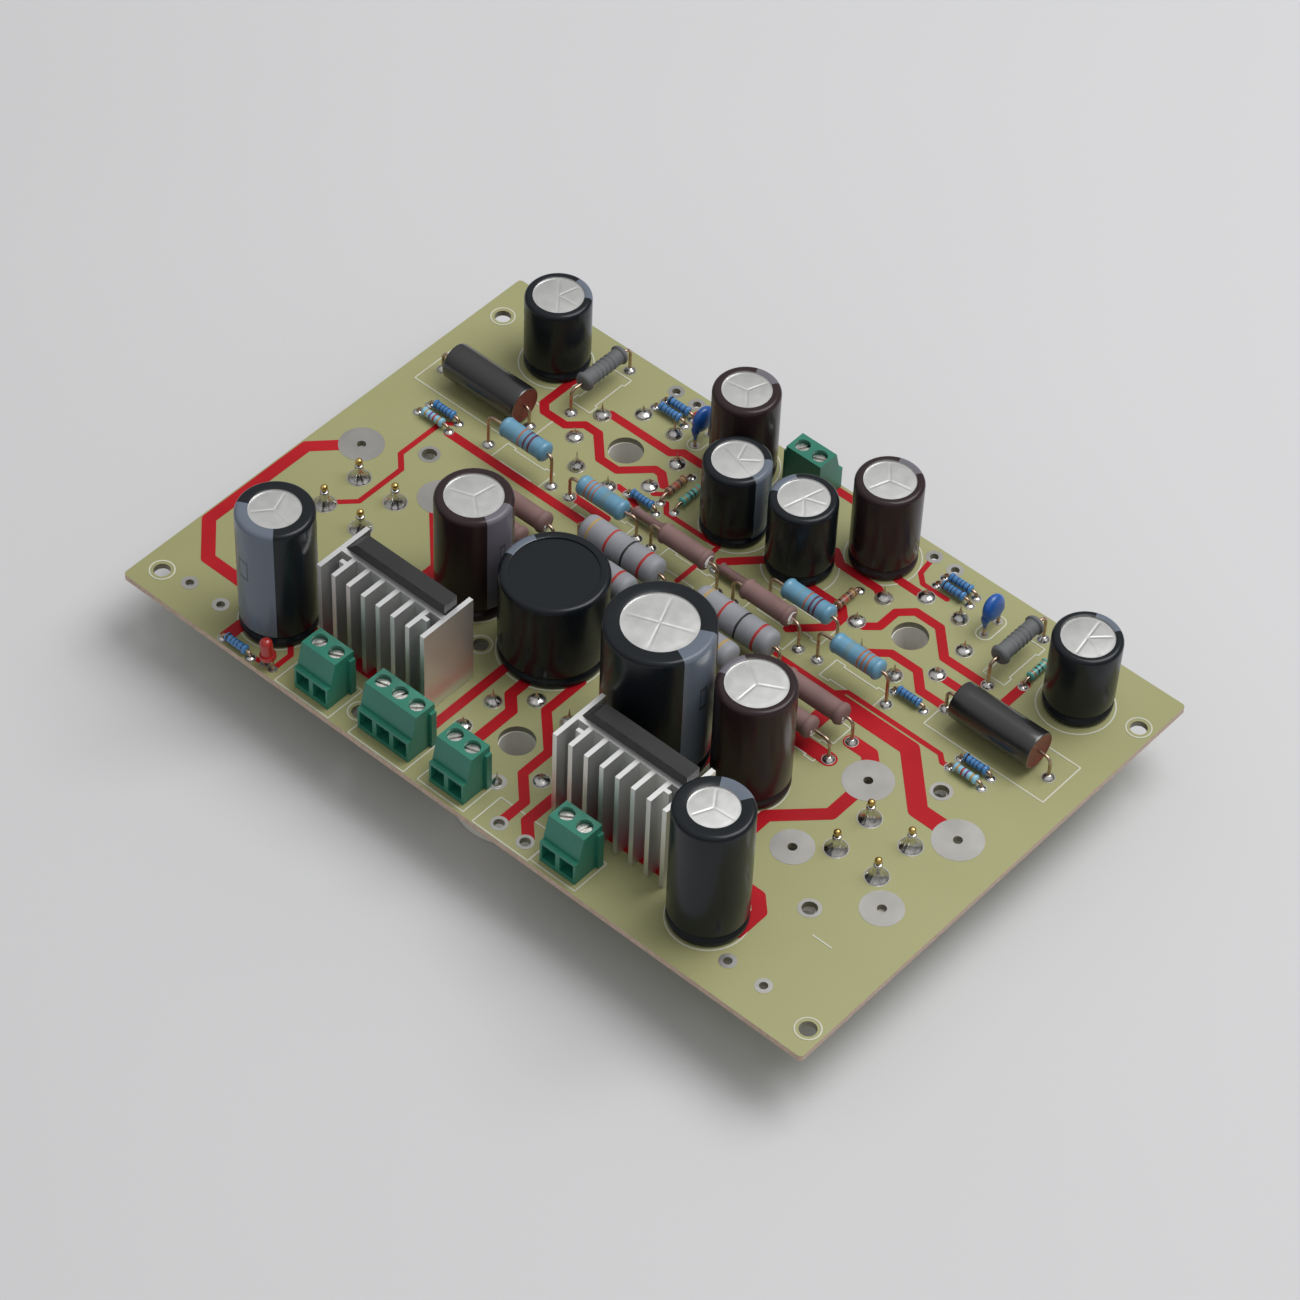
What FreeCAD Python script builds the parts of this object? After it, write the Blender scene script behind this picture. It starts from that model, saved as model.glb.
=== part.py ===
import FreeCAD, Part
import math
import os
import re

import Sketcher
from FreeCAD import Placement, Rotation, Vector

# Audio amplifier board, component side up, standing on the valve sockets under it.
# The origin is on the ground under the middle of the board. X runs along the front edge, Z is up.

# Driving dimensions in millimetres
SIZES = {
    "board_length": 200.0,
    "board_width": 132.0,
    "board_thickness": 1.6,
    "board_corner": 1.0,
    "stand_height": 17.0,
    "corner_hole_radius": 2.0,
    "corner_inset_left": 5.7,
    "corner_inset_right": 3.8,
    "corner_inset_front": 6.7,
    "corner_inset_back": 12.3,
    "copper_thickness": 0.05,
    "print_thickness": 0.1,
    "print_line": 0.35,
    "lead_radius": 0.4,
    "lead_clearance": 0.1,
    "lead_tail": 1.4,
    "lead_tip": 0.2,
    "lead_bend": 1.6,
    "solder_radius": 1.0,
    "solder_step": 0.05,
    "pad_radius": 1.1,
    "small_pad_radius": 1.25,
    "small_joint_radius": 1.0,
    "small_joint_rise": 0.4,
    "power_pad_radius": 1.6,
    "power_joint_radius": 1.45,
    "power_joint_rise": 0.9,
    # Electrolytic capacitors
    "can_small_radius": 8.0,
    "can_middle_radius": 9.0,
    "can_large_radius": 12.5,
    "can_round": 0.9,
    "can_groove_rise": 2.6,
    "can_groove_radius": 1.2,
    "can_groove_depth": 0.7,
    "can_dish_depth": 0.35,
    "can_dish_rim": 2.1,
    "can_lead_pitch": 7.5,
    # Terminal blocks
    "terminal_pitch": 5.08,
    "terminal_height": 12.4,
    "terminal_back": 2.8,
    "terminal_top_front": 3.0,
    "terminal_ledge_front": 4.45,
    "terminal_ledge_height": 6.7,
    "terminal_base_front": 5.7,
    "terminal_rib_proud": 0.75,
    "terminal_rib_depth": 1.6,
    "terminal_rib_inset": 0.2,
    "terminal_rib_height": 10.6,
    "well_radius": 1.85,
    "well_floor": 9.6,
    "shelf_thickness": 0.6,
    "cage_width": 3.6,
    "cage_depth": 3.4,
    "cage_height": 4.5,
    "cage_wall": 0.55,
    "cage_floor": 0.7,
    "cage_roof": 0.8,
    "cage_rest": 0.6,
    "cage_clearance": 0.1,
    "mouth_width": 3.8,
    "mouth_height": 4.3,
    "mouth_sill": 1.2,
    "mouth_depth": 2.2,
    "strip_width": 2.3,
    "strip_thickness": 0.8,
    "strip_leg_width": 1.0,
    "strip_leg_thickness": 0.5,
    "strip_tail": 1.4,
    "strip_gap": 0.05,
    "screw_head_radius": 1.7,
    "screw_head_height": 1.7,
    "screw_head_gap": 0.02,
    "screw_shank_radius": 1.2,
    "screw_running_gap": 0.06,
    "screw_tip_gap": 0.05,
    "screw_slot_width": 0.6,
    "screw_slot_depth": 0.7,
    # Heatsinks and the rectifiers behind them
    "sink_height": 25.0,
    "sink_fin_pitch": 4.42,
    "sink_fin_thickness": 1.2,
    "sink_fin_depth": 6.6,
    "sink_base_thickness": 1.35,
    "sink_ear_depth": 7.65,
    "sink_lip_width": 1.5,
    "sink_lip_thickness": 1.0,
    "sink_lip_gap": 1.6,
    "rectifier_end_gap": 0.27,
    "rectifier_thickness": 4.0,
    "rectifier_height": 20.2,
    "rectifier_rise": 8.0,
    "rectifier_chamfer": 3.0,
    "rectifier_lead_pitch": 7.6,
    # Axial and radial parts
    "film_radius": 4.6,
    "film_length": 22.0,
    "film_round": 0.8,
    "blue_length": 13.5,
    "blue_end_radius": 2.6,
    "blue_waist_radius": 2.4,
    "blue_end_length": 3.0,
    "cement_length": 14.0,
    "cement_radius": 2.6,
    "long_cement_length": 17.6,
    "long_cement_radius": 2.75,
    "slim_cement_length": 9.0,
    "slim_cement_radius": 1.5,
    "pale_length": 22.2,
    "pale_radius": 3.6,
    "wound_length": 14.0,
    "wound_radius": 2.5,
    "quarter_length": 6.3,
    "quarter_end_radius": 1.2,
    "quarter_waist_radius": 1.0,
    "quarter_end_length": 1.6,
    "quarter_height": 1.6,
    "resistor_round": 0.55,
    "disc_radius": 3.4,
    "disc_thickness": 3.0,
    "disc_height": 6.8,
    "disc_lead_reach": 4.15,
    "disc_round": 1.2,
    "led_radius": 1.5,
    "led_length": 4.0,
    "led_flange_radius": 1.9,
    "led_flange_height": 1.0,
    "led_rise": 3.0,
    "led_lead_reach": 2.8,
    "led_pitch": 2.5,
    # Valve sockets
    "octal_radius": 14.5,
    "octal_foot_radius": 10.5,
    "octal_foot_height": 1.8,
    "octal_key_radius": 4.0,
    "octal_board_hole_radius": 4.25,
    "octal_pin_circle": 8.7,
    "octal_pin_radius": 1.25,
    "octal_pin_depth": 12.0,
    "octal_tag_circle": 12.6,
    "octal_tag_radius": 0.6,
    "octal_tag_rise": 1.0,
    "octal_pad_radius": 2.2,
    "octal_blob_radius": 2.0,
    "octal_close_blob_radius": 1.2,
    "octal_blob_height": 1.2,
    "solder_tip_radius": 0.15,
    "clip_wall": 0.2,
    "clip_length": 9.0,
    "four_pin_radius": 16.5,
    "four_pin_height": 14.0,
    "four_pin_ear_length": 52.0,
    "four_pin_ear_width": 10.0,
    "four_pin_ear_thickness": 2.0,
    "four_pin_hole_spacing": 44.3,
    "four_pin_hole_radius": 1.8,
    "four_pin_spread": 5.7,
    "four_pin_bore_radius": 1.9,
    "four_pin_bore_depth": 10.0,
    "four_pin_stem_radius": 0.6,
    "four_pin_stem_rise": 5.2,
    "four_pin_ball_radius": 0.9,
    "four_pin_fillet_radius": 2.7,
    "four_pin_fillet_rise": 2.0,
    "four_pin_pad_radius": 2.9,
    "four_pin_screw_ring_radius": 2.65,
}

doc = FreeCAD.newDocument("AmplifierBoard")
sheet = doc.addObject("Spreadsheet::Sheet", "Sizes")
for row, (alias, number) in enumerate(SIZES.items(), start=1):
    sheet.set(f"A{row}", alias)
    sheet.set(f"B{row}", str(number))
    sheet.setAlias(f"B{row}", alias)
doc.recompute()


def size(alias):
    """A driving dimension, as the sheet holds it."""
    return float(sheet.get(alias))


def bound(formula):
    """A formula of aliases, with each alias looked up in the sheet."""
    return re.sub(r"\b([a-z]\w*)\b", r"Sizes.\1", formula)


def bind(item, **formulas):
    for name, formula in formulas.items():
        item.setExpression(name, bound(formula))


def place(item, x="0", y="0", z="0"):
    for axis, formula in zip("xyz", (x, y, z)):
        item.setExpression("Placement.Base." + axis, bound(formula))


nodes = {}


def node(label, item):
    """Names a finished sub-part. The label is also the name of its file."""
    item.Label = label
    nodes[label] = item


def top():
    """The height of the board's component side."""
    return size("stand_height") + size("board_thickness")


BOARD_TOP = "stand_height + board_thickness"
SEAT = BOARD_TOP + " + print_thickness"


# Building blocks

def box(name, length, width, height, x="0", y="0", z="0"):
    item = doc.addObject("Part::Box", name)
    bind(item, Length=length, Width=width, Height=height)
    place(item, x, y, z)
    return item


def cylinder(name, radius, height, x="0", y="0", z="0"):
    item = doc.addObject("Part::Cylinder", name)
    bind(item, Radius=radius, Height=height)
    place(item, x, y, z)
    return item


def fuse(name, items):
    item = doc.addObject("Part::MultiFuse", name)
    item.Shapes = items
    return item


def cut(name, base, tool):
    item = doc.addObject("Part::Cut", name)
    item.Base = base
    item.Tool = tool
    return item


def body(name):
    return doc.addObject("PartDesign::Body", name)


def primitive(owner, kind, name, x="0", y="0", z="0", rotation=None, **formulas):
    """A PartDesign primitive of the given kind in its own body."""
    item = owner.newObject("PartDesign::" + kind, name)
    bind(item, **formulas)
    if rotation is not None:
        item.Placement = Placement(Vector(), rotation)
    place(item, x, y, z)
    return item


def outline(owner, plane, name, corners):
    """A closed sketch of straight lines whose corners are pairs of signed aliases."""
    sketch = owner.newObject("Sketcher::SketchObject", name)
    origin = [item for item in owner.Origin.OriginFeatures if item.Role == plane][0]
    sketch.AttachmentSupport = [(origin, "")]
    sketch.MapMode = "FlatFace"

    def read(term):
        if term == "0":
            return 0.0
        return -size(term[1:]) if term.startswith("-") else size(term)

    points = [Vector(read(u), read(v), 0) for u, v in corners]
    count = len(points)
    for index, point in enumerate(points):
        sketch.addGeometry(Part.LineSegment(point, points[(index + 1) % count]))
    for index in range(count):
        sketch.addConstraint(Sketcher.Constraint("Coincident", index, 2, (index + 1) % count, 1))
    for index, terms in enumerate(corners):
        for kind, term in zip(("DistanceX", "DistanceY"), terms):
            number = sketch.addConstraint(Sketcher.Constraint(kind, -1, 1, index, 1, read(term)))
            if term != "0":
                sketch.setExpression(f"Constraints[{number}]", bound(term))
    return sketch


# Lengths closer than this are taken as the same
NEAR = 1e-4


def circle_edges(item, radius, reach):
    """The names of the round edges of one radius that lie at least so far out along the X axis."""
    return [f"Edge{number}" for number, edge in enumerate(item.Shape.Edges, start=1)
            if isinstance(edge.Curve, Part.Circle) and abs(edge.Curve.Radius - radius) < NEAR
            and abs(edge.Curve.Center.x) > reach - NEAR]


def rounded(owner, base, name, radius, alias, reach=0.0):
    """Rounds the circular edges of one radius by a size from the sheet."""
    base.recompute()
    item = owner.newObject("PartDesign::Fillet", name)
    item.Base = (base, circle_edges(base, radius, reach))
    bind(item, Radius=alias)
    return item


def group(label, solids):
    """Several loose solids that share one node."""
    item = doc.addObject("Part::Feature", label)
    item.Shape = Part.makeCompound(solids)
    node(label, item)
    return item


def moved(shape, x, y, z, turn=0.0, axis=Vector(0, 0, 1)):
    """A copy of a shape, turned about an axis through its origin and then shifted."""
    copy = shape.copy()
    copy.Placement = Placement(Vector(x, y, z), Rotation(axis, turn)).multiply(copy.Placement)
    return copy


# Places of the components, measured from the middle of the board

# Number, centre, can size, height, lean about Y in degrees
CAPACITORS = [
    (1, -64.5, -51.9, "middle", 35.5, 0.0),
    (2, -38.3, -16.5, "middle", 31.5, 0.0),
    (3, -14.05, -16.7, "large", 25.0, 0.0),
    (4, 21.5, -22.8, "large", 40.0, 0.0),
    (5, 43.2, -16.0, "middle", 31.5, 0.0),
    (6, 61.1, -50.7, "middle", 35.5, 0.0),
    (7, -74.8, 51.5, "small", 21.3, 0.0),
    (8, -20.1, 54.9, "small", 25.0, 0.0),
    (9, -9.4, 39.5, "small", 21.3, 0.0),
    (10, 9.2, 40.6, "small", 21.3, 0.0),
    (11, 21.9, 55.1, "small", 25.0, 0.0),
    (12, 81.5, 50.5, "small", 21.3, 1.0),
]
# Poles, middle of the row of screws, turn, slot angle of each screw
TERMINALS = [
    (2, -42.9, -58.3, 0.0, (62.0, 28.0)),
    (3, -22.0, -57.4, 0.0, (15.0, 74.0, 40.0)),
    (2, -2.5, -58.06, 0.0, (55.0, 20.0)),
    (2, 29.95, -58.13, 0.0, (35.0, 80.0)),
    (2, -4.3, 59.9, 180.0, (25.0, 66.0)),
]
# Side, left face of the first fin, front of the base plate
HEATSINKS = [("left", -53.32, -44.05), ("right", 17.28, -45.1)]
# Centre, height above the board, pads
FILM_CAPACITORS = [
    (-77.5, 31.0, 5.6, (-92.4, 31.0), (-64.8, 30.8)),
    (76.0, 29.0, 6.0, (61.5, 29.0), (90.4, 28.8)),
]
BLUE_RESISTORS = [
    (-56.25, 20.2, 9.5, (-67.7, 20.0), (-48.05, 20.0)),
    (-32.65, 20.4, 6.8, (-42.6, 20.3), (-22.7, 20.9)),
    (22.7, 27.4, 7.5, (11.7, 27.4), (31.3, 27.4)),
    (42.3, 20.9, 9.4, (31.3, 20.7), (50.9, 21.0)),
]
CEMENT_RESISTORS = [
    (-8.0, 20.8, 8.2, (-18.4, 20.9), (1.5, 20.8)),
    (16.4, 20.8, 7.75, (6.3, 20.8), (26.1, 20.3)),
]
LONG_CEMENT_RESISTORS = [
    (41.4, 7.3, 6.8, (30.0, 7.4), (52.4, 7.4)),
    (38.4, 0.2, 6.1, (27.0, 0.1), (51.9, 0.1)),
    (-45.1, 5.8, 6.5, (-56.5, 5.8), (-34.5, 5.8)),
    (-46.4, -1.0, 6.0, (-57.0, -1.0), (-36.0, -1.0)),
]
SLIM_CEMENT_RESISTORS = [
    (-23.1, 25.7, 2.2, (-29.3, 25.7), (-16.9, 25.7)),
    (2.9, 25.7, 2.2, (-3.4, 25.7), (9.2, 25.7)),
]
PALE_RESISTORS = [
    (-18.5, 11.1, 7.0, (-31.6, 11.1), (-5.4, 11.1)),
    (-19.5, 2.5, 7.0, (-32.6, 2.5), (-6.4, 2.5)),
    (14.4, 12.0, 7.0, (1.3, 12.0), (27.5, 12.0)),
    (10.4, 2.8, 7.0, (-2.7, 2.8), (23.5, 2.8)),
]
WOUND_RESISTORS = [
    (-60.5, 51.2, 7.3, (-60.75, 40.8), (-60.1, 60.7)),
    (64.1, 50.1, 7.6, (63.9, 40.8), (64.4, 60.1)),
]
# Pads of the quarter-watt resistors
QUARTER_RESISTORS = [
    ((-69.7, -64.6), (-61.0, -64.6)),
    ((-86.4, 20.2), (-77.3, 20.2)),
    ((-87.0, 16.6), (-77.3, 16.8)),
    ((-47.1, 58.6), (-38.5, 58.6)),
    ((-47.6, 55.6), (-38.5, 55.7)),
    ((36.5, 59.5), (45.6, 59.6)),
    ((36.5, 56.5), (45.9, 56.8)),
    ((49.8, 25.1), (58.3, 25.2)),
    ((-33.5, 30.2), (-24.7, 29.9)),
    ((73.0, 19.8), (81.4, 19.9)),
    ((72.8, 16.2), (81.6, 16.4)),
    ((-21.8, 33.1), (-21.8, 44.0)),
    ((70.0, 45.8), (70.0, 56.0)),
    ((-26.2, 33.1), (-26.2, 44.2)),
    ((24.9, 33.0), (24.9, 43.3)),
]
# Pads, and lean towards the left in degrees
DISC_CAPACITORS = [((-32.6, 52.6), (-32.6, 57.7), 0.0), ((53.7, 52.1), (53.7, 57.3), 7.0)]
LED_PLACE = (-56.35, -63.65)
LED_LEAN = 7.0
OCTAL_SOCKETS = [(-43.2, 40.35), (42.0, 40.45), (-1.35, -42.3)]
# Centre, and the shift of the screw holes from it
FOUR_PIN_SOCKETS = [(-76.4, -13.8, 0.9), (75.0, -12.4, 0.8)]
# Centre, outer radius, radius of the hole
TINNED_DISCS = [
    (-89.2, 0.0, 5.45, 1.1),
    (-64.2, 0.1, 5.45, 1.1),
    (-89.2, -27.3, 5.0, 1.1),
    (-64.2, -27.3, 5.0, 1.1),
    (87.1, 1.5, 5.9, 1.1),
    (62.2, 1.3, 5.9, 1.1),
    (87.1, -24.2, 4.95, 1.1),
    (62.2, -24.2, 4.95, 1.1),
    (-87.0, -57.8, 2.0, 1.0),
    (-77.2, -57.8, 2.0, 1.0),
    (72.3, -57.1, 2.0, 1.0),
    (82.1, -57.0, 2.0, 1.0),
    (-47.4, 62.9, 2.0, 1.0),
    (-41.0, 62.9, 2.0, 1.0),
    (30.6, 63.0, 2.0, 1.0),
    (36.7, 63.0, 2.0, 1.0),
    (11.7, -62.2, 2.05, 1.25),
    (19.3, -62.2, 2.05, 1.25),
]
PLAIN_HOLES = [(-26.5, -27.0, 1.9), (-32.4, -59.5, 1.9)]

# Width and centre line of each copper track
TRACKS = [
    (3.3, [(-92.3, -3.2), (-98.0, -9.2), (-98.0, -40.8), (-89.4, -49.65), (-37.5, -49.65)]),
    (1.4, [(-80.5, 16.6), (-80.5, 4.0), (-76.9, 0.4), (-76.9, -13.6), (-82.1, -18.9)]),
    (2.45, [(-77.0, 16.5), (-33.0, 16.5)]),
    (1.2, [(-77.3, 20.0), (-80.3, 17.8)]),
    (1.4, [(-63.5, -3.5), (-50.8, -16.4)]),
    (3.4, [(-49.6, -15.5), (-49.6, -47.0)]),
    (2.3, [(-53.7, 46.8), (-35.2, 46.8), (-32.9, 48.9), (-27.2, 48.9)]),
    (2.3, [(-67.5, 49.0), (-67.5, 38.9), (-65.5, 36.9), (-59.0, 36.9), (-55.7, 40.1), (-51.6, 40.1),
           (-45.7, 34.2), (-40.4, 34.2), (-34.2, 40.4), (-32.2, 40.4), (-29.3, 37.9)]),
    (2.3, [(-42.6, 20.9), (-32.0, 20.9)]),
    (1.6, [(-36.7, 30.5), (-33.5, 30.2), (-29.5, 28.5)]),
    (1.4, [(-25.1, 34.0), (-23.0, 31.7), (-8.6, 31.7)]),
    (1.4, [(-29.2, 34.3), (-27.4, 35.8)]),
    (2.4, [(-3.9, 28.7), (3.2, 36.2)]),
    (2.3, [(15.0, 36.6), (25.2, 36.6), (27.4, 34.4), (27.4, 30.5), (20.5, 23.5)]),
    (2.3, [(30.6, 35.6), (32.5, 35.6), (35.1, 38.0), (35.1, 43.8), (38.3, 47.0), (45.2, 47.0),
           (51.7, 40.5), (63.5, 40.5)]),
    (2.3, [(37.5, 29.5), (42.2, 33.5), (49.8, 33.5), (54.0, 29.25), (61.5, 29.25)]),
    (2.2, [(53.0, 35.6), (61.0, 35.6)]),
    (2.5, [(70.0, 46.5), (70.0, 33.0)]),
    (1.3, [(30.6, 63.0), (31.0, 60.0), (31.5, 57.0), (34.0, 54.7), (41.0, 54.7)]),
    (2.2, [(0.9, 64.1), (14.0, 64.1)]),
    (2.3, [(13.0, 49.0), (16.5, 46.6), (27.5, 46.6), (30.1, 45.1)]),
    (2.3, [(22.0, 51.9), (35.8, 51.9)]),
    (2.4, [(-38.5, 58.7), (-38.5, 61.0), (-36.0, 63.5)]),
    (2.0, [(-38.5, 58.7), (-35.5, 57.5)]),
    (4.5, [(42.6, 14.6), (63.0, 14.6), (75.5, 2.1), (85.0, 2.1)]),
    (4.1, [(42.6, 14.6), (42.6, 0.1)]),
    (1.3, [(22.0, 15.8), (40.3, 15.8), (42.5, 17.95), (68.9, 17.95), (70.7, 16.3), (73.0, 16.3)]),
    (3.9, [(52.4, 7.4), (57.5, 7.4), (62.0, 2.9)]),
    (3.3, [(62.3, -4.0), (62.3, -11.5), (52.4, -21.4), (52.4, -30.0)]),
    (3.3, [(60.0, -39.5), (65.6, -39.5), (68.7, -42.6), (68.7, -50.0)]),
    (4.1, [(42.0, 0.1), (51.9, 0.1)]),
    (3.3, [(-69.5, -63.8), (-69.5, -59.0), (-65.0, -54.5)]),
    (1.4, [(-55.1, -63.7), (-55.1, -58.0), (-58.0, -55.0)]),
    (1.3, [(-61.0, -64.2), (-57.6, -63.6)]),
    (2.45, [(-17.8, -25.0), (-17.8, -56.0)]),
    (2.8, [(-11.6, -26.0), (-11.6, -33.3), (-8.2, -36.7), (-8.2, -51.0), (-5.1, -56.0)]),
    (2.4, [(-2.65, -20.0), (-2.65, -31.4), (5.9, -39.9), (5.9, -48.3), (11.6, -54.0), (11.6, -62.2)]),
    (2.8, [(15.6, -44.0), (15.6, -57.5), (19.3, -61.2)]),
    (3.3, [(28.0, -10.0), (32.0, -15.0), (32.0, -30.0)]),
    (1.3, [(-7.3, 31.7), (-7.3, 17.5)]),
]
# The broad area of copper under the right heatsink
COPPER_POUR = [(17.0, -41.0), (17.0, -49.7), (48.7, -49.7), (39.9, -41.0)]

# Printed outlines: resistor places along X, then along Y
PRINTED_BONES_X = [
    (-57.3, 20.3), (-32.6, 20.3), (-8.0, 20.8), (16.4, 20.8),
    (41.9, 20.6), (21.5, 27.4), (42.5, 7.2), (42.5, 0.3),
]
PRINTED_BONES_Y = [(-60.5, 51.0), (63.65, 50.5)]
# Bone outlines: half length, half length of the waist, half width, half width of the waist
PRINTED_BONE = (7.15, 4.9, 2.85, 2.25)
# Printed boxes: left, front, right, back
PRINTED_BOXES = [
    (-95.1, 24.5, -62.1, 37.4),
    (60.8, 22.5, 93.8, 35.5),
    (7.2, -65.5, 23.0, -56.7),
    (-52.3, -65.5, -36.3, -55.0),
    (-29.9, -65.5, -13.6, -54.2),
    (-9.6, -64.9, 3.6, -54.9),
    (23.5, -64.9, 36.0, -55.0),
]
# Centre and radius of the printed circles round the capacitors
PRINTED_CAN_CIRCLES = [
    (-64.5, -52.1, 9.4), (-38.3, -16.5, 9.4), (-14.1, -16.8, 12.9), (21.5, -22.8, 12.9),
    (43.05, -16.6, 9.4), (61.3, -51.0, 9.4), (-74.6, 50.9, 9.1), (-20.1, 54.9, 9.1),
    (-8.7, 39.9, 9.1), (10.1, 39.9, 9.1), (22.0, 55.05, 9.1), (81.7, 49.7, 9.1),
]
PRINTED_HOLE_MARGIN = 1.0
PRINTED_CORNER_MARGIN = 1.05
# The printed stadium round a disc capacitor: half width and half length
PRINTED_STADIUM = (2.15, 4.45)
PRINTED_DASH = [(81.0, -39.7), (86.1, -39.7)]

half_length = size("board_length") / 2
half_width = size("board_width") / 2
corner_x = (-half_length + size("corner_inset_left"), half_length - size("corner_inset_right"))
corner_y = (-half_width + size("corner_inset_front"), half_width - size("corner_inset_back"))
CORNER_HOLES = [(x, y) for x in corner_x for y in corner_y]


def four_pin_places(x, y):
    spread = size("four_pin_spread")
    return [(x + sx * spread, y + sy * spread) for sx in (-1, 1) for sy in (-1, 1)]


# Angle of the first of the eight holes of an octal socket
FIRST_HOLE = math.pi / 8


def octal_places(x, y, radius):
    angles = [FIRST_HOLE + step * math.pi / 4 for step in range(8)]
    return [(x + radius * math.cos(angle), y + radius * math.sin(angle)) for angle in angles]


def four_pin_screw_places(x, y, shift):
    half = size("four_pin_hole_spacing") / 2
    return [(x + shift, y - half), (x + shift, y + half)]


def pole_places(poles, x, y, turn):
    """Screw lines of one terminal block, from left to right before it is turned."""
    sign = -1.0 if turn else 1.0
    pitch = size("terminal_pitch")
    return [(x + sign * (index - (poles - 1) / 2) * pitch, y) for index in range(poles)]


# Leads through the board

def straight_lead(x, y, rise):
    """A wire from below the board up to a height above it."""
    low = size("stand_height") - size("lead_tail")
    return Part.makeCylinder(size("lead_radius"), top() + rise - low, Vector(x, y, low))


def bent_lead(pad, end, rise):
    """A wire up from a pad, round one bend and level into the end of a component."""
    start = Vector(pad[0], pad[1], size("stand_height") - size("lead_tail"))
    finish = Vector(end[0], end[1], top() + rise)
    level = Vector(end[0] - pad[0], end[1] - pad[1], 0)
    bend = min(size("lead_bend"), 0.8 * level.Length)
    level.normalize()
    below = Vector(pad[0], pad[1], finish.z - bend)
    after = Vector(pad[0], pad[1], finish.z) + level * bend
    inside = bend * (1 - math.sqrt(0.5))
    middle = Vector(pad[0], pad[1], finish.z) + level * inside - Vector(0, 0, inside)
    path = Part.Wire([
        Part.makeLine(start, below),
        Part.Arc(below, middle, after).toShape(),
        Part.makeLine(after, finish),
    ])
    section = Part.Wire(Part.makeCircle(size("lead_radius"), start))
    return path.makePipeShell([section], True, False)


def axial_leads(places, length):
    """Both wires of each axial component in a list."""
    wires = []
    for x, y, rise, first, second in places:
        along = Vector(second[0] - first[0], second[1] - first[1], 0)
        if abs(along.x) > abs(along.y):
            ends = ((x - length / 2, y), (x + length / 2, y))
        else:
            ends = ((x, y - length / 2), (x, y + length / 2))
        wires.append(bent_lead(first, ends[0], rise))
        wires.append(bent_lead(second, ends[1], rise))
    return wires


def quarter_place(first, second):
    """A quarter-watt resistor as its centre, height and pads."""
    return ((first[0] + second[0]) / 2, (first[1] + second[1]) / 2, size("quarter_height"), first, second)


QUARTER_PLACES = [quarter_place(*pads) for pads in QUARTER_RESISTORS]
# Places of the axial components, with their body length and the kind of their pads
AXIAL_GROUPS = [
    (FILM_CAPACITORS, "film_length", "power"),
    (BLUE_RESISTORS, "blue_length", "power"),
    (CEMENT_RESISTORS, "cement_length", "power"),
    (LONG_CEMENT_RESISTORS, "long_cement_length", "power"),
    (SLIM_CEMENT_RESISTORS, "slim_cement_length", "small"),
    (PALE_RESISTORS, "pale_length", "power"),
    (WOUND_RESISTORS, "wound_length", "power"),
    (QUARTER_PLACES, "quarter_length", "small"),
]


def upper_joint(pad, kind, wire):
    """A low cone of solder on a pad, round the wire that comes up through it."""
    low = top() + size("copper_thickness")
    cone = Part.makeCone(size(kind + "_joint_radius"), size("lead_radius") + size("solder_step"),
                         size(kind + "_joint_rise"), Vector(pad[0], pad[1], low))
    return cone.cut(wire)


wires = []
lead_places = []
pad_sizes = {}
upper_joints = []
for places, length_alias, kind in AXIAL_GROUPS:
    bent = axial_leads(places, size(length_alias))
    pads = [pad for entry in places for pad in entry[3:5]]
    upper_joints += [upper_joint(pad, kind, wire) for pad, wire in zip(pads, bent)]
    pad_sizes.update({pad: size(kind + "_pad_radius") for pad in pads})
    lead_places += pads
    wires += bent
for number, x, y, kind, height, lean in CAPACITORS:
    for side in (-1, 1):
        spot = (x + side * size("can_lead_pitch") / 2, y)
        wires.append(straight_lead(*spot, size("print_thickness")))
        lead_places.append(spot)
for first, second, lean in DISC_CAPACITORS:
    for pad in (first, second):
        wires.append(straight_lead(*pad, size("disc_lead_reach")))
        lead_places.append(pad)
for side in (-1, 1):
    spot = (LED_PLACE[0] + side * size("led_pitch") / 2, LED_PLACE[1])
    wires.append(straight_lead(*spot, size("led_lead_reach")))
    lead_places.append(spot)
for side, first_fin, base_front in HEATSINKS:
    middle = first_fin + 3.5 * size("sink_fin_pitch") + size("sink_fin_thickness") / 2
    y = base_front + size("sink_base_thickness") + size("rectifier_thickness") / 2
    for step in (-1.5, -0.5, 0.5, 1.5):
        spot = (middle + step * size("rectifier_lead_pitch"), y)
        wires.append(straight_lead(*spot, size("rectifier_rise")))
        lead_places.append(spot)
group("component_leads", wires)


# Circuit board

def board_plate():
    plate = body("BoardPlate")
    slab = primitive(plate, "AdditiveBox", "BoardSlab",
                     "-board_length / 2", "-board_width / 2", "stand_height",
                     Length="board_length", Width="board_width", Height="board_thickness")
    doc.recompute()
    upright = [f"Edge{number}" for number, edge in enumerate(slab.Shape.Edges, start=1)
               if abs(edge.tangentAt(edge.FirstParameter).z) > 0.5]
    rounding = plate.newObject("PartDesign::Fillet", "BoardCorners")
    rounding.Base = (slab, upright)
    bind(rounding, Radius="board_corner")
    return plate


# How far a cutting tool runs past the solid that it goes through
OVERRUN = 1.0


def drill(x, y, radius):
    low = size("stand_height") - OVERRUN
    return Part.makeCylinder(radius, size("board_thickness") + 2 * OVERRUN, Vector(x, y, low))


strip_leg_y = size("cage_depth") / 2 + size("cage_clearance") + size("strip_leg_thickness") / 2
strip_leg_diagonal = math.hypot(size("strip_leg_width"), size("strip_leg_thickness"))
strip_hole_radius = strip_leg_diagonal / 2 + size("lead_clearance")

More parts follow.
